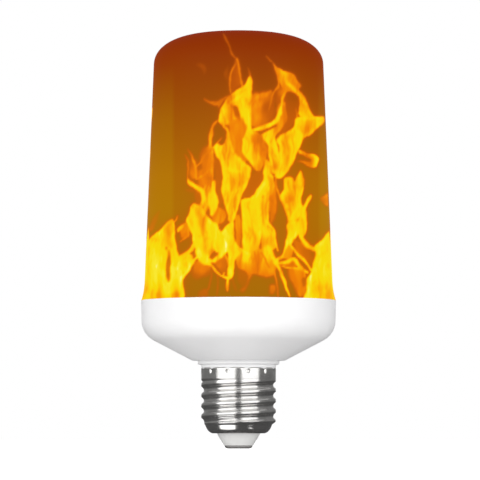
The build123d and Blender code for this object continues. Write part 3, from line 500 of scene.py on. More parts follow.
# Each shape is painted over the ones before it. A body is a closed outline and a strand a
# line: (softness or half width, points). A point is (across, up, heat) in drawing steps
# from the axis and the drawing's foot. Points after None lie inside a body and only carry
# heat.
BODY, STRAND = "body", "strand"
FLAMES = (
    # Wisps near the top
    (STRAND, 1.3, ((-15, 264, .22), (-12.5, 257.5, .28), (-8.5, 251, .28), (-6.5, 244, .33),
        (-2, 238.5, .35))),
    (BODY, 2.5, ((-2.5, 240, .35), (1, 235, .3), (1.5, 225, .3), (3, 217, .3), (1.5, 213, .3),
        (-2.5, 210, .2), (-7.5, 205, .2), (-8.5, 212, .15), (-7.5, 223, .15), (-5.5, 231, .2))),
    (STRAND, 1.7, ((-2, 240, .4), (0.5, 232, .42), (1, 224, .4), (3, 216, .45), (3, 210, .5))),
    (STRAND, 1.5, ((-2.5, 235, .3), (-6, 229, .42), (-8, 221, .42), (-8.5, 212, .42),
        (-8, 204, .5))),
    (STRAND, 1.2, ((9, 231, .15), (11.5, 224, .32), (12, 217, .5))),
    (STRAND, 3, ((-42, 234, .06), (-36.5, 231.5, .13), (-34.5, 227, .1), (-35.5, 223, .03))),
    (STRAND, 2.5, ((-11, 231, .03), (-12.5, 224, .12), (-11.5, 217, .03))),
    (BODY, 1.5, ((-34.5, 200, .25), (-28.5, 195.5, .38), (-22.5, 192.5, .42), (-19.5, 189, .35),
        (-16.5, 195, .4), (-9.5, 202, .4), (-15.5, 200, .3), (-21.5, 196, .3))),
    (STRAND, 1.4, ((-34.5, 200, .3), (-28.5, 195, .38), (-23, 192.5, .4), (-19.5, 196.5, .35),
        (-14, 200, .35), (-9, 201.5, .4))),
    # Crest left of the middle
    (BODY, 3, ((13, 203, .45), (22, 205, .42), (31, 207, .4), (36, 204, .3), (36, 192, .22),
        (34, 180, .25), (24, 172, .35), (12, 172, .45), (11, 188, .5), None, (18, 195, .55),
        (30, 190, .2), (17, 180, .48))),
    (STRAND, 2.5, ((13, 196, .5), (19, 200, .55), (25, 202, .5), (32, 206, .38))),
    (BODY, 1.3, ((10.5, 222, .7), (14, 216.5, .75), (13, 205, .72), (13, 198.5, .65),
        (12, 190, .62), (12.5, 184, .62), (12, 176, .65), (12, 168, .78), (6, 167, .7),
        (3, 172, .5), (-4, 169, .5), (-14.5, 171, .65), (-19.5, 176.5, .75), (-20, 181, .8),
        (-17.5, 190, .75), (-13, 197.5, .7), (-8.5, 202.5, .6), (-1, 208.5, .72), (5, 213, .72),
        None, (-13, 187, .82), (8, 200, .82), (7, 184, .88), (8, 174, .8), (-8, 178, .62))),
    (STRAND, 1.8, ((-11, 190, .75), (-6, 196, .85), (1, 201, .85), (7, 206, .8))),
    (STRAND, 4.2, ((6, 203, .78), (5.5, 194, .78), (6.5, 185, .84), (8, 176, .82), (9, 167, .8))),
    (BODY, 2.5, ((-9, 177, .55), (4, 179, .5), (5, 170, .45), (-7, 168, .48), None, (0, 172, .38))),
    (BODY, 1.8, ((-6.5, 191, .3), (-3, 192, .22), (1, 185, .22), (2.5, 178, .35), (-1, 178, .4),
        (-5, 185, .3))),
    # Stem under the crest
    (BODY, 2, ((-11, 173, .48), (7, 173, .46), (6, 155, .42), (10, 140, .4), (4, 135, .45),
        (-6, 146, .5), (-9, 160, .46))),
    (BODY, 1.5, ((-14, 173, .3), (-10, 172, .3), (-8, 167, .35), (-10, 165, .35), (-13, 169, .3))),
    (STRAND, 1.8, ((-20, 177, .7), (-14.5, 170.5, .68), (-11, 165, .68), (-9, 157, .68),
        (-7, 147, .72), (-2, 139, .75), (4, 133, .75))),
    # Arch at the right
    (STRAND, 1, ((26.5, 242, .2), (30, 239, .32), (34, 236, .4))),
    (BODY, 1.4, ((34, 236, .4), (39.5, 231, .5), (45.5, 227, .6), (50.5, 226, .55),
        (55.5, 224, .45), (58.5, 219, .5), (63, 212.5, .45), (61, 209, .6), (64.5, 204, .55),
        (68, 199.5, .45), (67.5, 194, .5), (70, 188.5, .6), (74.5, 181.5, .7), (68, 178, .7),
        (60, 183.5, .7), (60.5, 190.5, .6), (60, 198.5, .55), (53, 203.5, .5), (46.5, 202, .5),
        (44, 198.5, .45), (43, 208, .45), (40, 220, .45), (36, 230, .4))),
    (BODY, 3, ((40, 212, .3), (46, 206, .4), (46, 190, .4), (41, 188, .3), (38, 196, .22))),
    (STRAND, 1.4, ((39, 225.5, .4), (40.5, 215, .45), (38.5, 208.5, .42), (34, 200.5, .4),
        (31, 190.5, .35), (30, 185.5, .3))),
    (STRAND, 2.5, ((47.5, 224, .6), (49.5, 215, .75), (56.5, 208, .75), (65.5, 198, .7),
        (69.5, 187, .75), (77.5, 179, .75))),
    (BODY, 2.5, ((38, 190, .4), (46, 196, .5), (49, 190, .4), (49, 178, .4), (45, 170, .45),
        (38, 162, .5), (34, 164, .6), (38, 174, .6))),
    (BODY, 2, ((47, 203, .06), (53, 206, .02), (60, 202, .03), (60, 190, .1), (57, 180, .16),
        (52, 172, .18), (45, 166, .24), (40, 158, .3), (38, 159, .32), (42, 168, .32),
        (48, 178, .25), (48, 190, .12))),
    (STRAND, 1.4, ((43, 191, .6), (43.5, 199, .52), (47, 205, .5), (53, 207, .5))),
    (STRAND, 1.2, ((57.5, 190, .35), (58.5, 184, .4), (60, 178, .5))),
    (STRAND, 3, ((8.5, 167, .8), (15.5, 168, .8), (23.5, 169.5, .8), (31.5, 172.5, .9),
        (37, 176.5, 1.0), (40.5, 183, .92), (42.5, 191, .7))),
    (BODY, 1.5, ((85.5, 181.5, .75), (85.5, 176, .75), (77.5, 168, .72), (73, 162.5, .72),
        (66.5, 159, .75), (62, 151.5, .8), (57.5, 140.5, .85), (51, 129, .88), (44.5, 120.5, .88),
        (40, 118.5, .88), (35.5, 120.5, .8), (37.5, 129, .75), (40.5, 140.5, .75), (40, 150.5, .7),
        (38.5, 157.5, .72), (46.5, 165, .72), (54.5, 170.5, .72), (58.5, 180.5, .7),
        (74.5, 182, .72), None, (53, 145, .87), (66, 170, .72))),
    (BODY, 1.3, ((22.5, 163, .75), (27.5, 166, .7), (33.5, 169, .6), (38.5, 169, .5),
        (37.5, 159, .7), (39.5, 149, .75), (41.5, 139, .8), (40.5, 131, .7), (37.5, 125, .8),
        (33.5, 125, .8), (30.5, 134, .75), (29.5, 144, .7), (28.5, 152, .72), (24.5, 158, .75),
        None, (37, 131.5, .5))),
    (BODY, 1.5, ((7.5, 167, .8), (13.5, 166, .75), (19.5, 165, .55), (23.5, 160, .4),
        (28, 153, .35), (29, 143, .38), (25.5, 135, .5), (22.5, 127, .45), (16.5, 127, .6),
        (12.5, 134, .85), (6, 143, .88), (3.5, 152, .85), (5, 161, .85), None, (18, 159, .4),
        (11, 149, .85), (17, 142, .7), (21.5, 149, .55), (25, 148, .35))),
    (BODY, 3, ((13, 163, .5), (22, 163, .42), (24, 157, .36), (14, 155, .42))),
    (STRAND, 4, ((9, 165, .78), (8.5, 157, .84), (9, 149, .87), (12, 139, .87))),
    # Curl that has come loose at the right
    (BODY, 1.2, ((61, 147.5, .7), (66.5, 145, .8), (74.5, 144, .8), (80, 140.5, .8),
        (80.5, 136, .8), (77.5, 130.5, .7), (71, 130.5, .6), (64.5, 133.5, .5), (58.5, 136, .4),
        (64.5, 137, .35), (71, 136, .35), (72, 138, .4), (66.5, 140.5, .45), (61, 143.5, .5))),
    (BODY, 1.5, ((81.5, 100, .3), (86.5, 103, .45), (91.5, 106, .5), (97, 100, .5), (92.5, 92, .5),
        (87.5, 91, .4), (83.5, 95, .3))),
    # Strands up the left of the stem
    (BODY, 4, ((-37, 147, .3), (-29, 152, .42), (-25, 148, .46), (-26, 130, .46), (-38, 130, .38))),
    (BODY, 4, ((-48, 136, .25), (-42, 136, .42), (-41, 120, .48), (-49, 119, .38))),
    (BODY, 4, ((-40, 128, .4), (-28, 130, .45), (-28, 112, .46), (-38, 110, .46), (-41, 116, .42))),
    (STRAND, 2.6, ((-21.5, 177, .5), (-25.5, 170.5, .5), (-28, 161.5, .52), (-28, 152.5, .55),
        (-27, 143.5, .55), (-27.5, 132.5, .55), (-27.5, 122, .6), (-27, 112, .65))),
    (STRAND, 1.5, ((-17, 160, .35), (-22, 152.7, .48), (-30.6, 145.6, .42), (-37.8, 137, .42),
        (-42, 131, .5))),
    (STRAND, 1.5, ((-50.6, 149, .25), (-46.4, 140, .45), (-43, 131.3, .55), (-42, 118, .6))),
    (STRAND, 1.4, ((-54.2, 143.4, .22), (-50.2, 137, .38), (-50.4, 130, .4), (-50.9, 119, .5))),
    (STRAND, 1.5, ((-41, 118.5, .55), (-33, 124, .55), (-29, 130, .5), (-27.5, 136, .5))),
    (STRAND, 1.6, ((-24, 134, .45), (-21.5, 128, .5), (-21.5, 120, .5), (-20.5, 110, .6))),
    (BODY, 3, ((-43, 108, .3), (-39, 108, .3), (-38, 97, .2), (-42, 97, .2))),
    (STRAND, 2, ((-52, 108, .15), (-45, 106.5, .15))),
    # Stem
    (BODY, 1.5, ((-22.5, 148, .9), (-20, 139, .85), (-17, 130.5, .85), (-16.5, 119, .8),
        (-17, 110.5, .85), (-15.5, 99, .85), (-12.5, 88, .8), (-10, 77, .75), (-4.5, 77, .75),
        (2, 98, .85), (4.5, 103.5, .85), (8.5, 111.5, .8), (12.5, 125, .8), (12, 131.5, .8),
        (2, 138, .7), (-8, 142, .6), (-18, 147, .8), None, (-4.5, 115, .6), (-4, 98, .68),
        (0, 128, .72))),
    (BODY, 1.4, ((-12.5, 166, .6), (-9, 165, .65), (-7.5, 157, .68), (-4.5, 146, .7), (4, 137, .75),
        (4, 124, .75), (-14, 128, .78), (-20.5, 139, .7), (-20, 150, .65), (-14, 155, .6), None,
        (-12, 148, .62))),
    (BODY, 1.5, ((-24, 151, .75), (-19, 153, .8), (-17, 147, .82), (-19, 138, .8), (-23, 142, .8))),
    (STRAND, 1.3, ((-15, 152, .52), (-15, 145, .5), (-13, 137, .55))),
    (STRAND, 1.3, ((-9, 125, .6), (-6, 116, .6), (-7, 106, .6))),
    (STRAND, 1.3, ((-1, 107, .55), (-4, 97, .58), (-4, 86, .6))),
    (BODY, 1.3, ((-24.5, 137, .3), (-20.5, 139, .2), (-17.5, 131, .15), (-16.5, 122, .15),
        (-17.5, 107, .15), (-16.5, 97, .2), (-19.5, 92, .3), (-21.5, 102, .3), (-22.5, 115, .3),
        (-23.5, 125, .3))),
    # Spike right of the stem
    (BODY, 1.5, ((24, 100, .68), (29, 98, .7), (28.5, 76, .75), (34, 66, .7), (38, 50, .65),
        (24, 48, .6), (23, 75, .65), None, (26.5, 55.5, .5))),
    (BODY, 1.4, ((27.5, 138, .7), (31, 134, .75), (33, 125, .85), (34.5, 120.5, .8), (33, 109, .85),
        (32.5, 98, .8), (31, 87, .75), (27, 90, .7), (24.5, 102, .75), (23.5, 85.5, .8),
        (23, 68.5, .8), (21.5, 52, .7), (19, 38, .6), (12, 34, .5), (5, 42, .55), (3.5, 57.5, .8),
        (3, 80, .85), (2, 96.5, .85), (6.5, 99.5, .85), (13, 101, .85), (20, 111.5, .85),
        (24.5, 120.5, .85), (25.5, 135, .7), None, (13, 74, .75), (10, 61, .6), (27, 112, .85))),
    (BODY, 1.3, ((16.5, 125, .15), (23, 125, .15), (22, 116, .15), (13, 101.5, .2), (5.5, 101, .25),
        (8.5, 109, .2), (12, 118, .15))),
    (STRAND, 1.8, ((30, 116, .85), (30.5, 104, .95), (29.5, 94, .95), (28.5, 86, .9),
        (28.5, 75.5, 1.0), (34.5, 68.5, .85), (36.5, 57.5, .8), (40, 46.5, .75))),
    (BODY, 2.5, ((31, 118, .6), (36, 115, .56), (38, 100, .5), (38, 87, .42), (35, 76, .32),
        (31, 77, .5))),
    # Crown at the right
    (BODY, 1.4, ((45.5, 119, .85), (53, 121, .85), (56, 117, .8), (61, 128, .85), (66.5, 118, .85),
        (64.5, 109, .85), (63.5, 98, .8), (63, 90.5, .8), (58.5, 84, .8), (51, 73, .8),
        (47.5, 82.5, .8), (44.5, 92.5, .8), (41.5, 101.5, .8), (44.5, 109, .85), None, (53, 99, .5),
        (56, 110, .75))),
    (STRAND, 1.1, ((36.5, 120.5, .6), (38, 109, .6), (41.5, 100.5, .6), (46.5, 87, .65),
        (51, 74, .7))),
    (BODY, 1.4, ((63.5, 90, .75), (68, 85, .7), (68.5, 75, .65), (67, 65, .6), (63.5, 61, .65),
        (59.5, 65, .7), (58.5, 73, .72), (61.5, 83, .75))),
    (STRAND, 3.4, ((72, 102, .7), (67.5, 93, .8), (63, 87.5, .8), (57.5, 80, .8), (55, 72, .8),
        (52.5, 63, .8), (50, 52, .8), (45.5, 43, .8), (37.5, 36.5, .75))),
    (BODY, 1.4, ((48.5, 75, .78), (58, 77, .76), (61.5, 68, .74), (56.5, 58, .76), (51, 51, .78),
        (46.5, 54, .82), (48.5, 64, .8))),
    (STRAND, 1.6, ((48, 58, .95), (46.5, 50, .97), (44.5, 42, .95))),
    (BODY, 2, ((48.5, 52, .5), (54, 50, .5), (52, 40, .45), (44, 40, .5))),
    (BODY, 2.5, ((55, 58, .35), (62, 56, .35), (70, 47, .28), (74, 36, .25), (68, 36, .3),
        (58, 45, .38))),
    (STRAND, 3.2, ((61, 63, .75), (66, 55, .8), (72, 50, .8), (78, 48.5, .8))),
    (STRAND, 1.8, ((52, 54, .75), (57, 45.5, .75), (63, 39, .72), (69, 32, .72), (73, 27, .8))),
    # Low flames at the right
    (BODY, 3, ((50, 28, .4), (58, 29, .5), (66, 25, .5), (68, 18, .45), (67, 5, .5), (62, 0, .5),
        (57, 6, .4), (54, 14, .4), (50, 20, .38))),
    (BODY, 2, ((44, 36, .4), (56, 37, .38), (60, 32, .4), (50, 30, .35), (42, 31, .4))),
    (BODY, 2, ((63.5, 20, .25), (67, 19, .22), (66.5, 12, .25), (64, 12, .28))),
    (STRAND, 2.6, ((38, 34.5, .8), (45, 35, .72), (51.5, 38, .78), (56, 38, .78), (60, 33, .7),
        (63.5, 27.5, .7), (69, 25.5, .8))),
    (STRAND, 1.6, ((43, 31, .55), (49, 29.5, .6), (57, 29.5, .62), (66, 25.5, .65))),
    (BODY, 1.5, ((91, 66.5, .85), (82, 57.5, .9), (76, 52, .9), (76.5, 44, .9), (74.5, 35.5, .92),
        (72, 26.5, .92), (68.5, 18.5, .9), (68, 7.5, .9), (67.5, -4, .9), (102, -4, .92),
        (104, 60, .92), (98, 68, .85), None, (76.5, 7.5, .6), (85.5, 4, .65), (86, 40, .93),
        (80, 25, .95))),
    # Middle of the foot
    (BODY, 2.5, ((-4, 50, .6), (6, 47, .7), (14, 46, .6), (24, 50, .65), (33, 50, .7), (38, 38, .6),
        (37, 26, .45), (33, 21, .42), (24, 21, .4), (15, 23, .42), (9, 21, .42), (4, 26, .4),
        (-1, 30, .45), None, (9, 40, .75), (17, 38, .48), (6, 30, .5), (20, 28, .45), (28, 43, .7),
        (27, 33, .5), (33, 28, .48))),
    (BODY, 3, ((10, 22, .4), (14, 22, .4), (10, 14, .35), (6, 6, .3), (1, 7, .28), (6, 13, .3))),
    (BODY, 3, ((2, 27, .18), (8, 24, .15), (9, 16, .12), (5, 10, .12), (1, 14, .12), (0, 21, .15))),
    (STRAND, 1.8, ((20, 50, .7), (24.5, 43, .68), (28.5, 35, .62), (31, 30, .5))),
    (STRAND, 1.4, ((23, 46, .42), (27, 38, .4), (31, 30, .38))),
    (STRAND, 1.3, ((16, 46, .42), (18.5, 36, .4), (20, 27, .38))),
    (STRAND, 2.2, ((29, 52, .72), (31.5, 46.5, .8), (36, 38, .85), (41, 28, .82), (46, 15, .85),
        (51, 1, .85))),
    (BODY, 1.5, ((35.5, 37, .8), (40, 37, .8), (40.5, 33, .8), (36.5, 32.5, .75))),
    (STRAND, 1.8, ((33, 33, .5), (36, 23, .48), (38.5, 11, .38), (39.5, 1, .35))),
    (BODY, 2.5, ((30.5, 12, .4), (36, 13, .42), (36, 4, .36), (31, 4, .32))),
    (BODY, 1.5, ((-3.5, 80, .5), (2, 80, .5), (2, 52.5, .42), (-2.5, 52.5, .45))),
    (BODY, 3.5, ((-27, 89, .45), (-14, 88, .5), (-13.5, 75, .5), (-25, 74, .5))),
    (BODY, 2, ((-25, 41, .38), (-14, 42, .38), (-12, 36, .32), (-12, 26, .3), (-16, 24, .3),
        (-22, 31, .42))),
    (BODY, 1.4, ((-5, 77, .87), (-10, 73, .87), (-15.5, 68, .85), (-19, 62, .85), (-20, 54, .82),
        (-21, 46, .82), (-20, 40, .85), (-15, 42, .85), (-11, 45, .87), (-10.5, 39, .85),
        (-11, 30.5, .8), (-11.5, 21.5, .8), (-6.5, 20.5, .8), (-4.5, 27, .8), (-3.5, 37, .78),
        (3, 44, .78), (-1.5, 50, .8), (-4.5, 63.5, .85), None, (-9, 50, .88))),
    (BODY, 2, ((-24, 66, .8), (-17, 66, .85), (-17, 46, .82), (-22, 44, .8), (-25, 50, .75))),
    (STRAND, 1.8, ((-6, 58, .85), (-1, 51, .82), (5, 46.5, .8), (12, 43, .72))),
    (STRAND, 2, ((-14, 59, .96), (-12, 52, 1.0), (-9, 46, 1.0), (-8, 39, .95))),
    (STRAND, 1.4, ((-14, 44, .55), (-11.5, 38, .5), (-10.5, 31, .5))),
    (STRAND, 2, ((-17, 21.5, .8), (-12.5, 19.5, .85), (-7.5, 20, .85), (-5, 24.5, .8))),
    (STRAND, 1.3, ((-16, 21, .7), (-13.5, 25, .5))),
    (STRAND, 2.2, ((-10.5, 20, .8), (-11, 13, .72), (-11, 7, .6))),
    (STRAND, 1.5, ((-5.5, 19, .15), (-1.5, 5, .12))),
    # Tongues left of the middle
    (BODY, 2, ((-36, 108, .6), (-29, 112, .6), (-30, 90, .65), (-35, 85, .65))),
    (BODY, 1.4, ((-44.5, 95, .8), (-49, 86, .85), (-52.5, 77, .85), (-50, 70.5, .85),
        (-47, 62.5, .85), (-45.5, 56, .85), (-44.5, 52.5, .85), (-40, 41.5, .95), (-31.5, 39, .85),
        (-27, 43.5, .6), (-22.5, 50.5, .8), (-20, 70.5, .85), (-27, 77, .85), (-33.5, 86, .85),
        (-38, 92, .85), None, (-27, 58, .72), (-27, 45, .48), (-36, 65, .85))),
    (STRAND, 2.8, ((-50.5, 118, .75), (-49, 115, .8), (-42.5, 110.5, .85), (-37, 106, .85),
        (-35.5, 97, .85), (-40, 88, .85))),
    (BODY, 1.3, ((-27, 115, .8), (-23.5, 118, .8), (-22.5, 106, .9), (-20, 97, .9), (-21.5, 89, .9),
        (-27, 81.5, .85), (-30, 90.5, .8), (-30.5, 99, .8), (-29, 108, .8))),
    (BODY, 1.5, ((-58, 73, .4), (-52, 75, .5), (-49, 68, .55), (-50, 60, .5), (-57, 60, .4))),
    (STRAND, 2, ((-55.5, 73, .65), (-59, 69, .65), (-60, 65, .65))),
    (STRAND, 1.1, ((-58, 56, .5), (-51.5, 60.5, .5))),
    (BODY, 1.6, ((-59, 43, .74), (-46, 43, .72), (-49, 29, .78), (-57, 26, .78))),
    (STRAND, 2.6, ((-43.5, 54, .8), (-48, 47.5, .72), (-57, 42.5, .7))),
    (BODY, 4, ((-46, 34, .4), (-38, 37, .45), (-28, 32, .4), (-30, 22, .22), (-44, 20, .22), None,
        (-36, 28, .42))),
    (STRAND, 2.1, ((-40.5, 42, .93), (-45.5, 36, .95), (-51, 28, .95), (-55, 20.5, .92),
        (-58, 14, .9))),
    (BODY, 2, ((-44, 47, .9), (-38, 48, .92), (-35, 42, .92), (-28, 39, .85), (-27, 35, .85),
        (-31, 33, .8), (-36, 34, .85), (-42, 39, .92))),
    (STRAND, 2.6, ((-38, 40.5, .93), (-31.5, 37.5, .88), (-25.5, 36.5, .88), (-20, 40, .88),
        (-15.5, 44, .85))),
    (STRAND, 1.9, ((-34, 34.5, .8), (-27.5, 32, .8), (-22.5, 26, .75), (-17.5, 21, .75))),
    (STRAND, 1.3, ((-27, 26, .3), (-27.5, 17, .28), (-30, 8, .26), (-36, 1, .22))),
    (STRAND, 1.3, ((-21.5, 22, .28), (-20, 11, .26), (-22, 1.5, .22))),
    (BODY, 3, ((-40, 6, .2), (-33, 9, .28), (-30, 2, .22), (-39, 0, .2))),
    # Low flame at the left
    (STRAND, 3, ((-88, 67, .3), (-84, 76, .2), (-79, 86, .12))),
    (BODY, 1.5, ((-67, 79, .6), (-73.5, 73.5, .8), (-80, 67, .85), (-87, 61.5, .85), (-92, 55, .85),
        (-97, 47, .85), (-104, 40, .88), (-104, -4, .88), (-57, -4, .8), (-55.5, 10.5, .85),
        (-55, 23.5, .9), (-58, 35, .9), (-60.5, 49, .85), (-63, 61.5, .8), (-63.5, 72, .75), None,
        (-69, 67, .6), (-72.5, 55, .65), (-80, 40, .88), (-70, 6, 1.0), (-88, 20.5, .9),
        (-81.5, 1.5, .6), (-64.5, 2.5, .65), (-64, 25, .93))),
    (STRAND, 1.3, ((-64, 75, .6), (-61.5, 79, .45), (-60, 82, .3))),
    (BODY, 4, ((-74, 69, .6), (-66, 76, .5), (-65, 64, .55), (-72, 58, .62))),
    (STRAND, 1.8, ((-72.5, 51, .4), (-72, 47, .5))),
    (STRAND, 2.6, ((-69.5, 46, .5), (-70.2, 32, .1), (-70, 17, .4))),
)


def curve(points, closed):
    """Smooth line through points: a cubic between each two, whose slope at a point is half
    the way from the one before it to the one after it."""
    before = np.roll(points, 1, axis=0)
    after = np.roll(points, -1, axis=0)
    beyond = np.roll(points, -2, axis=0)
    if not closed:
        before[0] = points[0]
        after[-1] = points[-1]
        beyond[-2:] = points[-1]
    t = (np.arange(CURVE_STEPS) / CURVE_STEPS)[None, :, None]
    a, b, c, d = (p[:, None, :] for p in (before, points, after, beyond))
    line = 0.5 * (
        2 * b + (c - a) * t + (2 * a - 5 * b + 4 * c - d) * t**2 + (3 * b - a - 3 * c + d) * t**3
    )
    if closed:
        return line.reshape(-1, points.shape[1])
    return np.concatenate([line[:-1].reshape(-1, points.shape[1]), points[-1:]])


def spots_near(spots, line, margin):
    """Numbers of the spots in the box round a line, widened by a margin."""
    low, high = line.min(0) - margin - 1, line.max(0) + margin + 1
    return np.flatnonzero(np.all((spots > low) & (spots < high), axis=1))


def distance_to(spots, starts, ends):
    """Distance of each spot to each length of a line, and how far along that length."""
    along = ends - starts
    away = spots[:, None, :] - starts[None, :, :]
    share = np.clip((away * along).sum(-1) / ((along * along).sum(-1) + TINY), 0.0, 1.0)
    gap = away - share[..., None] * along
    return np.hypot(gap[..., 0], gap[..., 1]), share


def paint_body(heat, spots, softness, points):
    """Paint a closed shape. A spot is inside if a line from it to the right crosses the
    outline an odd number of times. Its heat blends those of the points by nearness."""
    cut = points.index(None) if None in points else len(points)
    edge = np.array(points[:cut], float)
    held = np.array([p for p in points if p is not None], float)
    line = curve(edge[:, :2], closed=True)
    near = spots_near(spots, line, softness)
    here = spots[near]
    starts, ends = line, np.roll(line, -1, axis=0)
    gap = distance_to(here, starts, ends)[0].min(1)
    crosses = (starts[:, 1] > here[:, 1:]) != (ends[:, 1] > here[:, 1:])
    rise = ends[:, 1] - starts[:, 1]
    rise = np.where(np.abs(rise) < TINY, TINY, rise)
    meets = starts[:, 0] + (here[:, 1:] - starts[:, 1]) / rise * (ends[:, 0] - starts[:, 0])
    inside = (crosses & (here[:, :1] < meets)).sum(1) % 2 == 1
    depth = np.where(inside, gap, -gap)
    cover = smooth_step(depth, -EDGE_SHARE * softness, EDGE_SHARE * softness)
    apart = np.hypot(here[:, None, 0] - held[:, 0], here[:, None, 1] - held[:, 1])
    weight = 1.0 / (apart + HELD_GAP) ** HELD_POWER
    warm = (weight * held[:, 2]).sum(1) / weight.sum(1)
    rim = RIM_GAIN * bell(depth, RIM_DEPTH, RIM_SPREAD) - INSIDE_LOSS
    warm += rim * smooth_step(warm, *RIM_HEATS)
    heat[near] += cover * (warm - heat[near])


def paint_strand(heat, spots, width, points):
    """Paint a line that thins towards both ends, with the heats of its points along it. Its
    half width follows a power of the sine of the way along it."""
    line = curve(np.array(points, float), closed=False)
    near = spots_near(spots, line[:, :2], 2 * width)
    gaps, shares = distance_to(spots[near], line[:-1, :2], line[1:, :2])
    best = gaps.argmin(1)
    rows = np.arange(len(near))
    gap, share = gaps[rows, best], shares[rows, best]
    along = (best + share) / (len(line) - 1)
    warm = line[best, 2] + share * (line[best + 1, 2] - line[best, 2])
    swell = np.sin(np.pi * np.clip(along, 0.0, 1.0)) ** SWELL_POWER
    half = width * (TIP_SHARE + (1.0 - TIP_SHARE) * swell)
    cover = 1.0 - smooth_step(gap, STRAND_EDGE[0] * half, STRAND_EDGE[1] * half)
    heat[near] += cover * (warm - heat[near])


def value_noise(across, up, seed):
    """Smooth random field: seeded values on a unit grid, blended by 3t^2 - 2t^3."""
    table = np.random.default_rng(seed).random((NOISE_SIZE, NOISE_SIZE))
    i, j = np.floor(across).astype(int), np.floor(up).astype(int)
    s, t = across - i, up - j
    s, t = s * s * (3 - 2 * s), t * t * (3 - 2 * t)
    i, j, k, l = (place % NOISE_SIZE for place in (i, j, i + 1, j + 1))
    low = table[i, j] + s * (table[k, j] - table[i, j])
    high = table[i, l] + s * (table[k, l] - table[i, l])
    return low + t * (high - low)


def layered_noise(across, up, patch):
    """Noise from 0 to 1 in patches of this width and height: three layers of smooth noise,
    each half as strong as the one before it and about twice as fine."""
    wide, tall, seed = patch
    across, up = across / wide + NOISE_START[0], up / tall + NOISE_START[1]
    total = value_noise(across, up, seed)
    total = total + 0.5 * value_noise(across * 2.1, up * 2.1, seed + 1)
    total = total + 0.25 * value_noise(across * 4.3, up * 4.3, seed + 2)
    return total / 1.75


def soften(field, spread):
    """Blur a field: along each side, a sum weighted by exp(-d^2 / 2 spread^2)."""
    spread = spread / GRID
    reach = int(3 * spread) + 1
    offsets = np.arange(-reach, reach + 1)
    weights = np.exp(-0.5 * (offsets / spread) ** 2)
    weights /= weights.sum()
    for axis in (0, 1):
        margins = [(reach, reach) if k == axis else (0, 0) for k in (0, 1)]
        padded = np.pad(field, margins, mode="edge")
        places = np.arange(field.shape[axis])
        shifted = (np.take(padded, places + k, axis) for k in range(len(weights)))
        field = sum(weight * layer for weight, layer in zip(weights, shifted))
    return field


def flame_field():
    """Heat of the flames over the drawing, on a grid of GRID steps: the painted shapes, with
    ridges, creases, patches and filaments of noise inside them and a glow round them."""
    across, up = np.meshgrid(
        np.arange(ACROSS_LOW, ACROSS_HIGH, GRID), np.arange(UP_LOW, UP_HIGH, GRID)
    )
    shape = across.shape
    across, up = across.ravel(), up.ravel()
    leaning = across + LEAN * (layered_noise(across, up, LEAN_NOISE) - 0.5)
    wobble = WOBBLE * (layered_noise(across, up, WOBBLE_NOISE) - 0.5)
    lift = WOBBLE * (layered_noise(across, up, LIFT_NOISE) - 0.5)
    spots = np.stack([across + wobble, up + lift], axis=-1)
    heat = np.zeros(len(spots))
    for kind, size, points in FLAMES:
        painter = paint_body if kind == BODY else paint_strand
        painter(heat, spots, size, points)
    strand = layered_noise(leaning, up, RIDGE_NOISE)
    ridge = 1.0 - np.abs(2.0 * strand - 1.0) * 3.0
    vein = layered_noise(leaning, up, CREASE_NOISE)
    broad = layered_noise(leaning, up, PATCH_NOISE)
    fine = layered_noise(leaning, up, FILAMENT_NOISE)
    stir = RIDGES * (ridge - RIDGE_LEVEL) - CREASES * bell(vein, CREASE_LEVEL, LINE_SPREAD)
    stir = stir + PATCHES * (broad - PATCH_LEVEL)
    stir = stir + FILAMENTS * bell(fine, FILAMENT_LEVEL, LINE_SPREAD)
    foot = FOOT_GAIN * (1.0 - smooth_step(up, *FOOT_HEIGHTS))
    inside = smooth_step(heat, *STIR_HEATS)
    heat = (heat + (stir + foot) * inside).reshape(shape)
    heat = heat - TOP_LOSS * np.maximum(heat - TOP_HEAT, 0.0)
    heat = np.clip(soften(heat, EDGE_BLUR), 0.0, 1.0)
    glow = NEAR_GLOW * soften(heat, NEAR_BLUR) + FAR_GLOW * soften(heat, FAR_BLUR)
    dim = 1.0 - smooth_step(heat, *GLOW_HEATS)
    return np.clip(heat + dim * glow, 0.0, 1.0)


def sample(field, across, up):
    """Value of a field at spots of the drawing, blended between the grid's points."""
    s = np.clip((across - ACROSS_LOW) / GRID, 0, field.shape[1] - 1.001)
    t = np.clip((up - UP_LOW) / GRID, 0, field.shape[0] - 1.001)
    i, j = s.astype(int), t.astype(int)
    s, t = s - i, t - j
    low = field[j, i] + s * (field[j, i + 1] - field[j, i])
    high = field[j + 1, i] + s * (field[j + 1, i + 1] - field[j + 1, i])
    return low + t * (high - low)


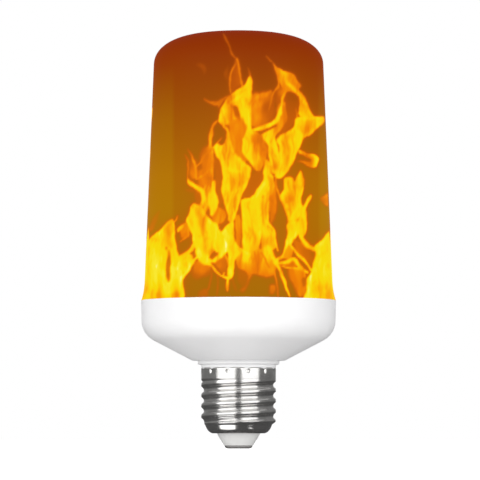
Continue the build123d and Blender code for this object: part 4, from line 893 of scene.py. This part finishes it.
def flame_heat(angles, heights, radii):
    """Heat of the flames on the cover, from 0 in the dark to 1 in the brightest core. The
    drawing is thrown on the front from the eye. It is laid twice more round the sides and the
    back, where a step across is a share of the turn, and fades out towards the crown."""
    field = flame_field()
    nearer = 1.0 / (1.0 - radii * np.maximum(np.cos(angles), 0.0) / EYE_DISTANCE)
    across = radii * np.sin(angles) * nearer / DRAWING_STEP
    up = (EYE_HEIGHT + (heights - EYE_HEIGHT) * nearer - DRAWING_FOOT) / DRAWING_STEP
    shown = 1.0 - smooth_step(np.abs(angles), JOIN_TURN, JOIN_TURN + JOIN_FADE)
    shown = shown * smooth_step(radii, *FRONT_TOP)
    heat = shown * sample(field, across, up)
    middle, half = (np.pi + JOIN_TURN) / 2, (np.pi - JOIN_TURN) / 2
    for side, tall in SIDE_DRAWINGS:
        away = (angles - side * middle + np.pi) % (2 * np.pi) - np.pi
        across = DRAWING_HALF * away / half
        up = (heights - DRAWING_FOOT) / DRAWING_STEP / tall
        reach = half - JOIN_FADE * smooth_step(up, *JOIN_SLANT)
        shown = 1.0 - smooth_step(np.abs(away), reach, reach + JOIN_FADE)
        shown = shown * (1.0 - smooth_step(heights, *(COVER_TOP - depth for depth in BACK_TOP)))
        heat = np.maximum(heat, shown * sample(field, across, up))
    return heat


# Colours as the eye reads them: place on the ramp, colour
DARK_COLOURS = (  # from the cover's foot to its top
    (0.0, (168, 107, 0)),
    (0.33, (175, 111, 0)),
    (0.45, (175, 106, 0)),
    (0.72, (156, 76, 0)),
    (0.9, (145, 51, 0)),
    (1.0, (135, 34, 0)),
)
FIRE_COLOURS = (  # from the coolest flame to the hottest
    (0.0, (180, 84, 2)),
    (0.25, (212, 94, 4)),
    (0.45, (238, 126, 0)),
    (0.62, (248, 160, 0)),
    (0.8, (250, 196, 0)),
    (0.92, (245, 218, 4)),
    (0.97, (248, 232, 50)),
    (1.0, (253, 246, 150)),
)
# Painted light: a band of lighter, yellower light along the left and right sides of the cover
PAINTED_BAND_COLOUR = (255, 255, 20)
PAINTED_BAND_LEFT, PAINTED_BAND_RIGHT, PAINTED_BAND_SLOPE = -0.64, 0.8, 25.0  # in shares of the housing's radius
PAINTED_BAND_TOP, PAINTED_BAND_TOP_SLOPE = 0.86, -5.0  # in shares of the cover's height
PAINTED_BAND_STRENGTH = 1.0 / 28.0
FLAME_STRENGTH = 2.4  # how soon a flame's colour hides the dark one as its heat rises
UNLIT_COLOUR = (0.01, 0.004, 0.001)


def flame_material(settings):
    """Lit cover: the flames' heat picks the glow, over a brown that darkens to the top, and
    both sides get a painted band of lighter, yellower light that fades out near the top."""
    material, nodes, shader, where = new_material("flame cover", roughness=0.5, specular=0.015)
    heat = nodes.add("ShaderNodeAttribute", attribute_name="flame_heat").outputs["Fac"]
    place = nodes.add("ShaderNodeSeparateXYZ")
    nodes.join(where, place.inputs[0])
    up = nodes.past(place.outputs["Z"], SEAM_Z, 1.0 / (COVER_TOP - SEAM_Z))
    dark = nodes.ramp(up, [(place, linear(*colour)) for place, colour in DARK_COLOURS])
    fire = nodes.ramp(heat, [(place, linear(*colour)) for place, colour in FIRE_COLOURS])
    colour = nodes.mix(nodes.math("MULTIPLY", heat, FLAME_STRENGTH, clamp=True), dark, fire)
    # Painted light: the band is yellower light at both sides, fading out near the top
    sine = nodes.math("DIVIDE", place.outputs["X"], HOUSING_RADIUS)
    left = nodes.past(sine, PAINTED_BAND_LEFT, -PAINTED_BAND_SLOPE)
    right = nodes.past(sine, PAINTED_BAND_RIGHT, PAINTED_BAND_SLOPE)
    lower = nodes.past(up, PAINTED_BAND_TOP, PAINTED_BAND_TOP_SLOPE)
    band = nodes.product(nodes.math("ADD", left, right), lower, PAINTED_BAND_STRENGTH)
    colour = nodes.mix(band, colour, linear(*PAINTED_BAND_COLOUR))
    nodes.join(colour, shader.inputs["Emission Color"])
    shader.inputs["Emission Strength"].default_value = settings.glow
    nodes.fill(shader.inputs["Base Color"], UNLIT_COLOUR)
    return material


class BULB_OT_cover(bpy.types.Operator):
    """Make the flame cover as a closed shell that carries the heat of its flames"""

    bl_idname = "flame_bulb.cover"
    bl_label = "Flame cover"

    def execute(self, context):
        settings = context.scene.bulb_cover
        columns = settings.columns
        outer = cover_profile(settings, 0.0, settings.outer_rows)
        inner = cover_profile(settings, settings.wall, INNER_ROWS)[::-1]
        radius = HOUSING_RADIUS - SKIRT_INSET
        radii = [radius - settings.wall, radius - settings.wall, radius, radius]
        skirt = np.stack([radii, [SEAM_Z, COVER_LOW.z, COVER_LOW.z, SEAM_Z]], axis=-1)
        line = np.concatenate([inner, skirt, outer])
        turn = np.linspace(-np.pi, np.pi, columns, endpoint=False)
        angles = turn - FRONT_CROWDING * np.sin(turn)
        points = turned(line[:, :1], line[:, 1:], angles[None, :])
        spots = np.broadcast_arrays(angles, line[:, 1:], line[:, :1])
        heat = np.append(flame_heat(*(values.ravel() for values in spots)), [0.0, 0.0])
        inner_pole, outer_pole = len(points), len(points) + 1
        poles = np.array([[0.0, 0.0, CROWN_TOP - settings.wall], [0.0, 0.0, CROWN_TOP]])
        points = np.concatenate([points, poles])
        triangles = np.concatenate(
            [
                pole_triangles(0, columns, inner_pole, flip=True),
                pole_triangles((len(line) - 1) * columns, columns, outer_pole),
            ]
        )
        cover = make_mesh("flame_cover", points, ring_quads(len(line), columns), triangles)
        attribute = cover.data.attributes.new("flame_heat", "FLOAT", "POINT")
        attribute.data.foreach_set("value", heat.astype(np.float32))
        cover.data.materials.append(flame_material(settings))
        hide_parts("diffuser_cover")
        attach(cover, "root")
        return {"FINISHED"}


# Screw cap


CREST_RADIUS = 13.05 * MM
HOLE_INSET = 1.0 * MM  # from the insulator's widest radius
PLATING_ROUGHNESS = 0.19
# Tapered end, in heights above the cap's lower end
END_HEIGHT = 4.9 * MM
END_TAPER, END_TAPER_POWER = 1.9 * MM, 1.4
END_ROUND, END_ROUND_POWER = 1.1 * MM, 9
FIRST_CREST = 4.15 * MM
LEAD_IN = 1.5 * MM
# Band with its crimps and lip, in depths below the cap's rim
BAND_HEIGHT = 5.5 * MM
RUN_OUT = 1.6 * MM
CRIMPS = 12
FIRST_CRIMP = np.radians(-73.5)
CRIMP_HEIGHT, CRIMP_DEPTH = 3.3 * MM, 0.34 * MM
CRIMP_TIP, CRIMP_SPREAD = 0.5 * MM, 2.0 * MM  # half width at its foot, and what it gains
CRIMP_FULL = 0.8  # share of its height above which it is at its deepest
DIMPLE_DROP, DIMPLE_RADIUS, DIMPLE_DEPTH = 1.3 * MM, 0.9 * MM, 0.16 * MM
DIMPLE_SQUEEZE = 0.7  # below 1, so it is taller than wide
LIP_HEIGHT, LIP_DEPTH = 0.55 * MM, 0.22 * MM


def cap_radius(settings, heights, angles):
    """Outer radius of the cap: a tapered, rounded end, then a right-hand thread as a cosine
    wave along the height and the turn, then the plain band. Each crimp is a V that widens
    towards the rim, with a round dimple in it, and the rim leans in by a smooth step."""
    low, high = CAP_LOW.z, CAP_HIGH.z
    root = CREST_RADIUS - settings.depth
    u = np.clip(1.0 - (heights - low) / END_HEIGHT, 0.0, 1.0)
    plain = root - END_TAPER * u**END_TAPER_POWER - END_ROUND * u**END_ROUND_POWER
    first_crest = low + FIRST_CREST
    band = high - BAND_HEIGHT
    east = np.pi / 2 - angles
    wave = np.cos(2 * np.pi * (heights - first_crest) / settings.pitch + east)
    wave = 0.5 + 0.5 * wave * (1.5 - 0.5 * wave**2)
    grown = smooth_step(heights, first_crest - LEAD_IN, first_crest)
    flat = smooth_step(heights, band, band + RUN_OUT)
    radius = plain + settings.depth * grown * (flat + (1.0 - flat) * wave)
    step = 2 * np.pi / CRIMPS
    nearest = (east - FIRST_CRIMP + step / 2) % step - step / 2
    drop = np.clip(1.0 - (high - heights) / CRIMP_HEIGHT, 0.0, 1.0)
    away = np.abs(nearest) * CREST_RADIUS / (CRIMP_TIP + CRIMP_SPREAD * drop)
    dent = CRIMP_DEPTH * smooth_step(drop, 0.0, CRIMP_FULL) * (1.0 - smooth_step(away, 0.0, 1.0))
    rise = DIMPLE_SQUEEZE * (heights - high + DIMPLE_DROP)
    away = np.hypot(nearest * CREST_RADIUS, rise) / DIMPLE_RADIUS
    dent = dent + DIMPLE_DEPTH * (1.0 - smooth_step(away, 0.0, 1.0))
    lip = LIP_DEPTH * smooth_step(heights, high - LIP_HEIGHT, high) ** 2
    return radius - dent - lip


class BULB_OT_screw_cap(bpy.types.Operator):
    """Make the screw cap as a thin closed sheet with its thread and crimps"""

    bl_idname = "flame_bulb.screw_cap"
    bl_label = "Screw cap"

    def execute(self, context):
        settings = context.scene.bulb_cap
        columns, wall = settings.columns, settings.wall
        low, high = CAP_LOW.z, CAP_HIGH.z
        turn = np.linspace(-np.pi, np.pi, columns, endpoint=False)[None, :]
        rows = np.linspace(low, high, settings.rows)[:, None]
        outer = cap_radius(settings, rows, turn)
        inner_rows = np.linspace(high, low + wall, settings.rows // 2)[:, None]
        inner = cap_radius(settings, inner_rows - wall, turn) - wall
        hole = np.full((1, columns), INSULATOR_HIGH.x - HOLE_INSET)
        radii = np.concatenate([hole, outer, inner, hole])
        heights = np.concatenate([[[low]], rows, inner_rows, [[low + wall]]])
        points = turned(radii, heights, turn)
        quads = ring_quads(len(heights), columns, closed_rows=True)
        cap = make_mesh("screw_cap", points, quads)
        plating = plated("nickel plate", tuple(settings.metal), PLATING_ROUGHNESS)
        cap.data.materials.append(plating)
        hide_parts("screw_shell")
        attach(cap, "root")
        return {"FINISHED"}


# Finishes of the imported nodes


class BULB_OT_body(bpy.types.Operator):
    """Give the housing, insulator and tip contact their finishes"""

    bl_idname = "flame_bulb.body"
    bl_label = "Housing and contacts"

    def execute(self, context):
        settings = context.scene.bulb_body
        finish_node("base_housing", plastic("satin white", tuple(settings.housing), 0.38))
        finish_node("cap_insulator", plastic("insulator", tuple(settings.insulator), 0.3))
        metal = plated("contact metal", (0.36, 0.35, 0.34), 0.5, metallic=0.3)
        finish_node("centre_contact", metal)
        return {"FINISHED"}


class BULB_OT_inside(bpy.types.Operator):
    """Give the lamp carrier, boards, parts and leads inside their finishes"""

    bl_idname = "flame_bulb.inside"
    bl_label = "Inner pieces"

    def execute(self, context):
        carrier = plastic("carrier plastic", (0.72, 0.72, 0.7), 0.5)
        board = circuit_board("green board", (0.02, 0.14, 0.05), (0.05, 0.26, 0.1))
        can = plated("can sleeve", (0.1, 0.1, 0.12), 0.35)
        chip = plastic("chip package", (0.02, 0.02, 0.022), 0.45)
        finishes = {
            "led_carrier": carrier,
            "carrier_cap": carrier,
            "led_board": circuit_board("flexible board", (0.75, 0.74, 0.7), (0.8, 0.62, 0.3)),
            "led_lamps": plastic("lamp package", (0.82, 0.68, 0.2), 0.25),
            "carrier_screws": plated("screw steel", (0.55, 0.55, 0.56), 0.3),
            "driver_board": board,
            "controller_board": board,
            "input_capacitor": can,
            "output_capacitor": can,
            "inductor": plastic("ferrite", (0.05, 0.045, 0.04), 0.6),
            "bridge_rectifier": chip,
            "driver_ic": chip,
            "controller_ic": chip,
            "fuse_resistor": plastic("resistor body", (0.1, 0.25, 0.2), 0.4),
            "board_connector": plastic("connector", (0.8, 0.78, 0.7), 0.4),
            "live_lead": plastic("live lead", (0.2, 0.08, 0.03), 0.4),
            "neutral_lead": plastic("neutral lead", (0.03, 0.1, 0.4), 0.4),
            "led_leads": plastic("led leads", (0.5, 0.02, 0.02), 0.4),
        }
        for name, material in finishes.items():
            finish_node(name, material)
        return {"FINISHED"}


# Studio


EYE_SIDE = 0.5 * MM
AIM_HEIGHT = 72.7 * MM
VIEW_WIDTH = 167.6 * MM  # of the whole picture, at the bulb's axis
SENSOR_WIDTH = 36.0  # in millimetres, as Blender's lenses are
LAMP_DISTANCE, LAMP_HEIGHT, LAMP_TALL = 0.6, 0.24, 0.46
LAMP_AIM = Vector((0.0, 0.0, 0.07))
SOFT_BOXES = (  # name, turn from the front in degrees, width, power
    ("left soft box", -40.0, 0.75, 1.85),
    ("right soft box", 37.0, 0.68, 1.5),
)
ROOM, WHITE, BLACK = (0.71, 0.71, 0.72), (1.0, 1.0, 1.0), (0.0, 0.0, 0.0)
BACK_WALL = ((0.93, (0.2, 0.2, 0.2)), (0.995, WHITE))  # by how far a ray goes backwards
FLOOR_HALF = 3.0
# MIRRORED_SHADE is painted shade: the dark floor that only mirrored rays find
FLOOR_SHADE, MIRRORED_SHADE, FLOOR_GLOW = (0.9, 0.9, 0.9), (0.1, 0.1, 0.1), 0.7

# Painted reflections: bright marks on the floor, which only mirrored rays find. An edge is
# a place and a sharpness, and the three that fan out have the share of the way ahead before them.
WEDGE_INNER = (-0.15, 1.6 * MM, 900.0)
WEDGE_OUTER = (2.0, -7.5 * MM, 500.0)
WEDGE_START = (25 * MM, 60.0)
PAINTED_GLINT_OUTER = (1.92, -21.2 * MM, 500.0)
PAINTED_GLINT_SLANT = 0.45
PAINTED_GLINT_NEAR, PAINTED_GLINT_FAR, PAINTED_GLINT_RIGHT = (1.3 * MM, 600.0), (10.5 * MM, -600.0), (0.0, -400.0)
SPOT_X, SPOT_SLANT, SPOT_TOP, SPOT_SHARPNESS = 9.4 * MM, 5.0 * MM, 1.1, -500.0


def place_camera(scene):
    """Camera at the photograph's eye, with the lens that gives its width of view."""
    lens = bpy.data.cameras.new("camera")
    camera = bpy.data.objects.new("camera", lens)
    scene.collection.objects.link(camera)
    scene.camera = camera
    eye = Vector((EYE_SIDE, -EYE_DISTANCE, EYE_HEIGHT))
    aim = Vector((EYE_SIDE, 0.0, AIM_HEIGHT)) - eye
    camera.location = eye
    camera.rotation_mode = "QUATERNION"
    camera.rotation_quaternion = aim.to_track_quat("-Z", "Y")
    lens.sensor_width = SENSOR_WIDTH
    lens.lens = SENSOR_WIDTH * aim.length / VIEW_WIDTH
    lens.clip_start, lens.clip_end = 0.01, 20.0


def soft_box(name, turn, width, power):
    """Area lamp that faces the middle of the bulb from this side, in degrees."""
    lamp = bpy.data.lights.new(name, "AREA")
    lamp.shape = "RECTANGLE"
    lamp.size, lamp.size_y = width, LAMP_TALL
    lamp.energy = power
    holder = bpy.data.objects.new(name, lamp)
    side = np.radians(turn)
    holder.location = (LAMP_DISTANCE * np.sin(side), -LAMP_DISTANCE * np.cos(side), LAMP_HEIGHT)
    aim = LAMP_AIM - holder.location
    holder.rotation_euler = aim.to_track_quat("-Z", "Y").to_euler()
    bpy.context.scene.collection.objects.link(holder)


def surroundings():
    """White for the camera, pale grey for the light on the bulb, and darker with a bright
    wall behind the bulb for what it mirrors."""
    world = bpy.data.worlds.new("studio")
    world.use_nodes = True
    nodes = Nodes(world.node_tree)

    def background(colour):
        """Light of this colour from all round."""
        node = nodes.add("ShaderNodeBackground")
        nodes.fill(node.inputs["Color"], colour)
        return node.outputs[0]

    def choice(factor, first, second):
        """The first light, or the second where the factor is 1."""
        node = nodes.add("ShaderNodeMixShader")
        for socket, output in zip(node.inputs, (factor, first, second)):
            nodes.join(output, socket)
        return node.outputs[0]

    direction = nodes.add("ShaderNodeSeparateXYZ")
    nodes.join(nodes.add("ShaderNodeTexCoord").outputs["Generated"], direction.inputs[0])
    behind = nodes.ramp(direction.outputs["Y"], BACK_WALL)
    path = nodes.add("ShaderNodeLightPath").outputs
    through = nodes.math("ADD", path["Is Glossy Ray"], path["Is Transmission Ray"])
    light = choice(through, background(ROOM), background(behind))
    light = choice(path["Is Camera Ray"], light, background(WHITE))
    nodes.join(light, nodes.add("ShaderNodeOutputWorld").inputs["Surface"])
    return world


def floor_material():
    """Pale floor. Rays that come from a polished piece find it painted dark, with painted
    reflections: a bright wedge in front of the bulb, a white patch near its left and a small
    bright spot near its right, and the patch and spot also glow for those rays."""
    material, nodes, shader, where = new_material("pale floor", roughness=0.9, specular=0.1)
    path = nodes.add("ShaderNodeLightPath").outputs
    place = nodes.add("ShaderNodeSeparateXYZ")
    nodes.join(where, place.inputs[0])
    ahead = nodes.math("MULTIPLY_ADD", place.outputs["Y"], -1.0, -CAP_HIGH.x)
    across = nodes.math("ABSOLUTE", place.outputs["X"])
    inward = nodes.math("MULTIPLY", across, -1.0)

    def fan(side, share, limit, sharpness):
        """Mask with an edge that moves sideways on the way ahead."""
        edge = nodes.math("MULTIPLY_ADD", ahead, share, side)
        return nodes.past(edge, limit, sharpness)

    inner = fan(across, *WEDGE_INNER)
    slant = nodes.math("MULTIPLY_ADD", across, PAINTED_GLINT_SLANT, ahead)
    near = nodes.past(slant, *PAINTED_GLINT_NEAR)
    far = nodes.past(slant, *PAINTED_GLINT_FAR)
    left = nodes.past(place.outputs["X"], *PAINTED_GLINT_RIGHT)
    # Painted highlight: a white patch on the floor near the bulb's left, and below a small spot
    # near its right
    painted_glint = nodes.product(near, far, fan(inward, *PAINTED_GLINT_OUTER), left, inner)
    aside = nodes.math("ABSOLUTE", nodes.math("ADD", place.outputs["X"], -SPOT_X))
    spot = nodes.math("ABSOLUTE", nodes.math("ADD", slant, -SPOT_SLANT))
    spot = nodes.math("ADD", aside, spot)
    spot = nodes.math("MULTIPLY_ADD", spot, SPOT_SHARPNESS, SPOT_TOP, clamp=True)
    painted_glint = nodes.math("ADD", painted_glint, spot)
    # Painted reflection: a bright wedge on the floor ahead of the bulb
    wedge = nodes.product(inner, fan(inward, *WEDGE_OUTER), nodes.past(ahead, *WEDGE_START))
    bright = nodes.math("ADD", wedge, painted_glint, clamp=True)
    # Mirrored rays find the floor painted dark, with the painted marks bright
    mirrored = nodes.mix(bright, MIRRORED_SHADE, WHITE)
    shade = nodes.mix(path["Is Glossy Ray"], FLOOR_SHADE, mirrored)
    nodes.join(shade, shader.inputs["Base Color"])
    seen = nodes.math("MULTIPLY", path["Is Camera Ray"], FLOOR_GLOW)
    # Painted highlight: the patch and spot glow for mirrored rays only
    seen = nodes.math("ADD", nodes.math("MULTIPLY", painted_glint, path["Is Glossy Ray"]), seen)
    nodes.join(nodes.mix(seen, BLACK, WHITE), shader.inputs["Emission Color"])
    shader.inputs["Emission Strength"].default_value = 1.0
    return material


class BULB_OT_studio(bpy.types.Operator):
    """Make the camera, the lamps, the white surroundings and the pale floor"""

    bl_idname = "flame_bulb.studio"
    bl_label = "Studio"

    def execute(self, context):
        scene = context.scene
        scene.view_settings.view_transform = "Standard"
        place_camera(scene)
        for box in SOFT_BOXES:
            soft_box(*box)
        scene.world = surroundings()
        corners = np.array([[-1, -1, 0], [1, -1, 0], [1, 1, 0], [-1, 1, 0]])
        floor = make_mesh("floor", FLOOR_HALF * corners, np.array([[0, 1, 2, 3]]))
        floor.data.materials.append(floor_material())
        return {"FINISHED"}


class BULB_PT_panel(bpy.types.Panel):
    """Lists the steps that make the bulb"""

    bl_label = "Flame Bulb"
    bl_idname = "BULB_PT_panel"
    bl_space_type = "VIEW_3D"
    bl_region_type = "UI"
    bl_category = "Flame Bulb"

    def draw(self, context):
        for step in STEPS:
            self.layout.operator(step.bl_idname)


SETTINGS = (CoverSettings, CapSettings, BodySettings)
STEPS = (BULB_OT_studio, BULB_OT_cover, BULB_OT_screw_cap, BULB_OT_body, BULB_OT_inside)
CLASSES = SETTINGS + STEPS + (BULB_PT_panel,)


def register():
    """Make the settings, steps and panel known to Blender."""
    for item in CLASSES:
        bpy.utils.register_class(item)
    bpy.types.Scene.bulb_cover = bpy.props.PointerProperty(type=CoverSettings)
    bpy.types.Scene.bulb_cap = bpy.props.PointerProperty(type=CapSettings)
    bpy.types.Scene.bulb_body = bpy.props.PointerProperty(type=BodySettings)


def unregister():
    """Take them out again, in reverse."""
    del bpy.types.Scene.bulb_body
    del bpy.types.Scene.bulb_cap
    del bpy.types.Scene.bulb_cover
    for item in reversed(CLASSES):
        bpy.utils.unregister_class(item)


def main():
    """Make everything in order."""
    register()
    bpy.ops.flame_bulb.studio()
    bpy.ops.flame_bulb.cover()
    bpy.ops.flame_bulb.screw_cap()
    bpy.ops.flame_bulb.body()
    bpy.ops.flame_bulb.inside()


if __name__ == "__main__":
    main()
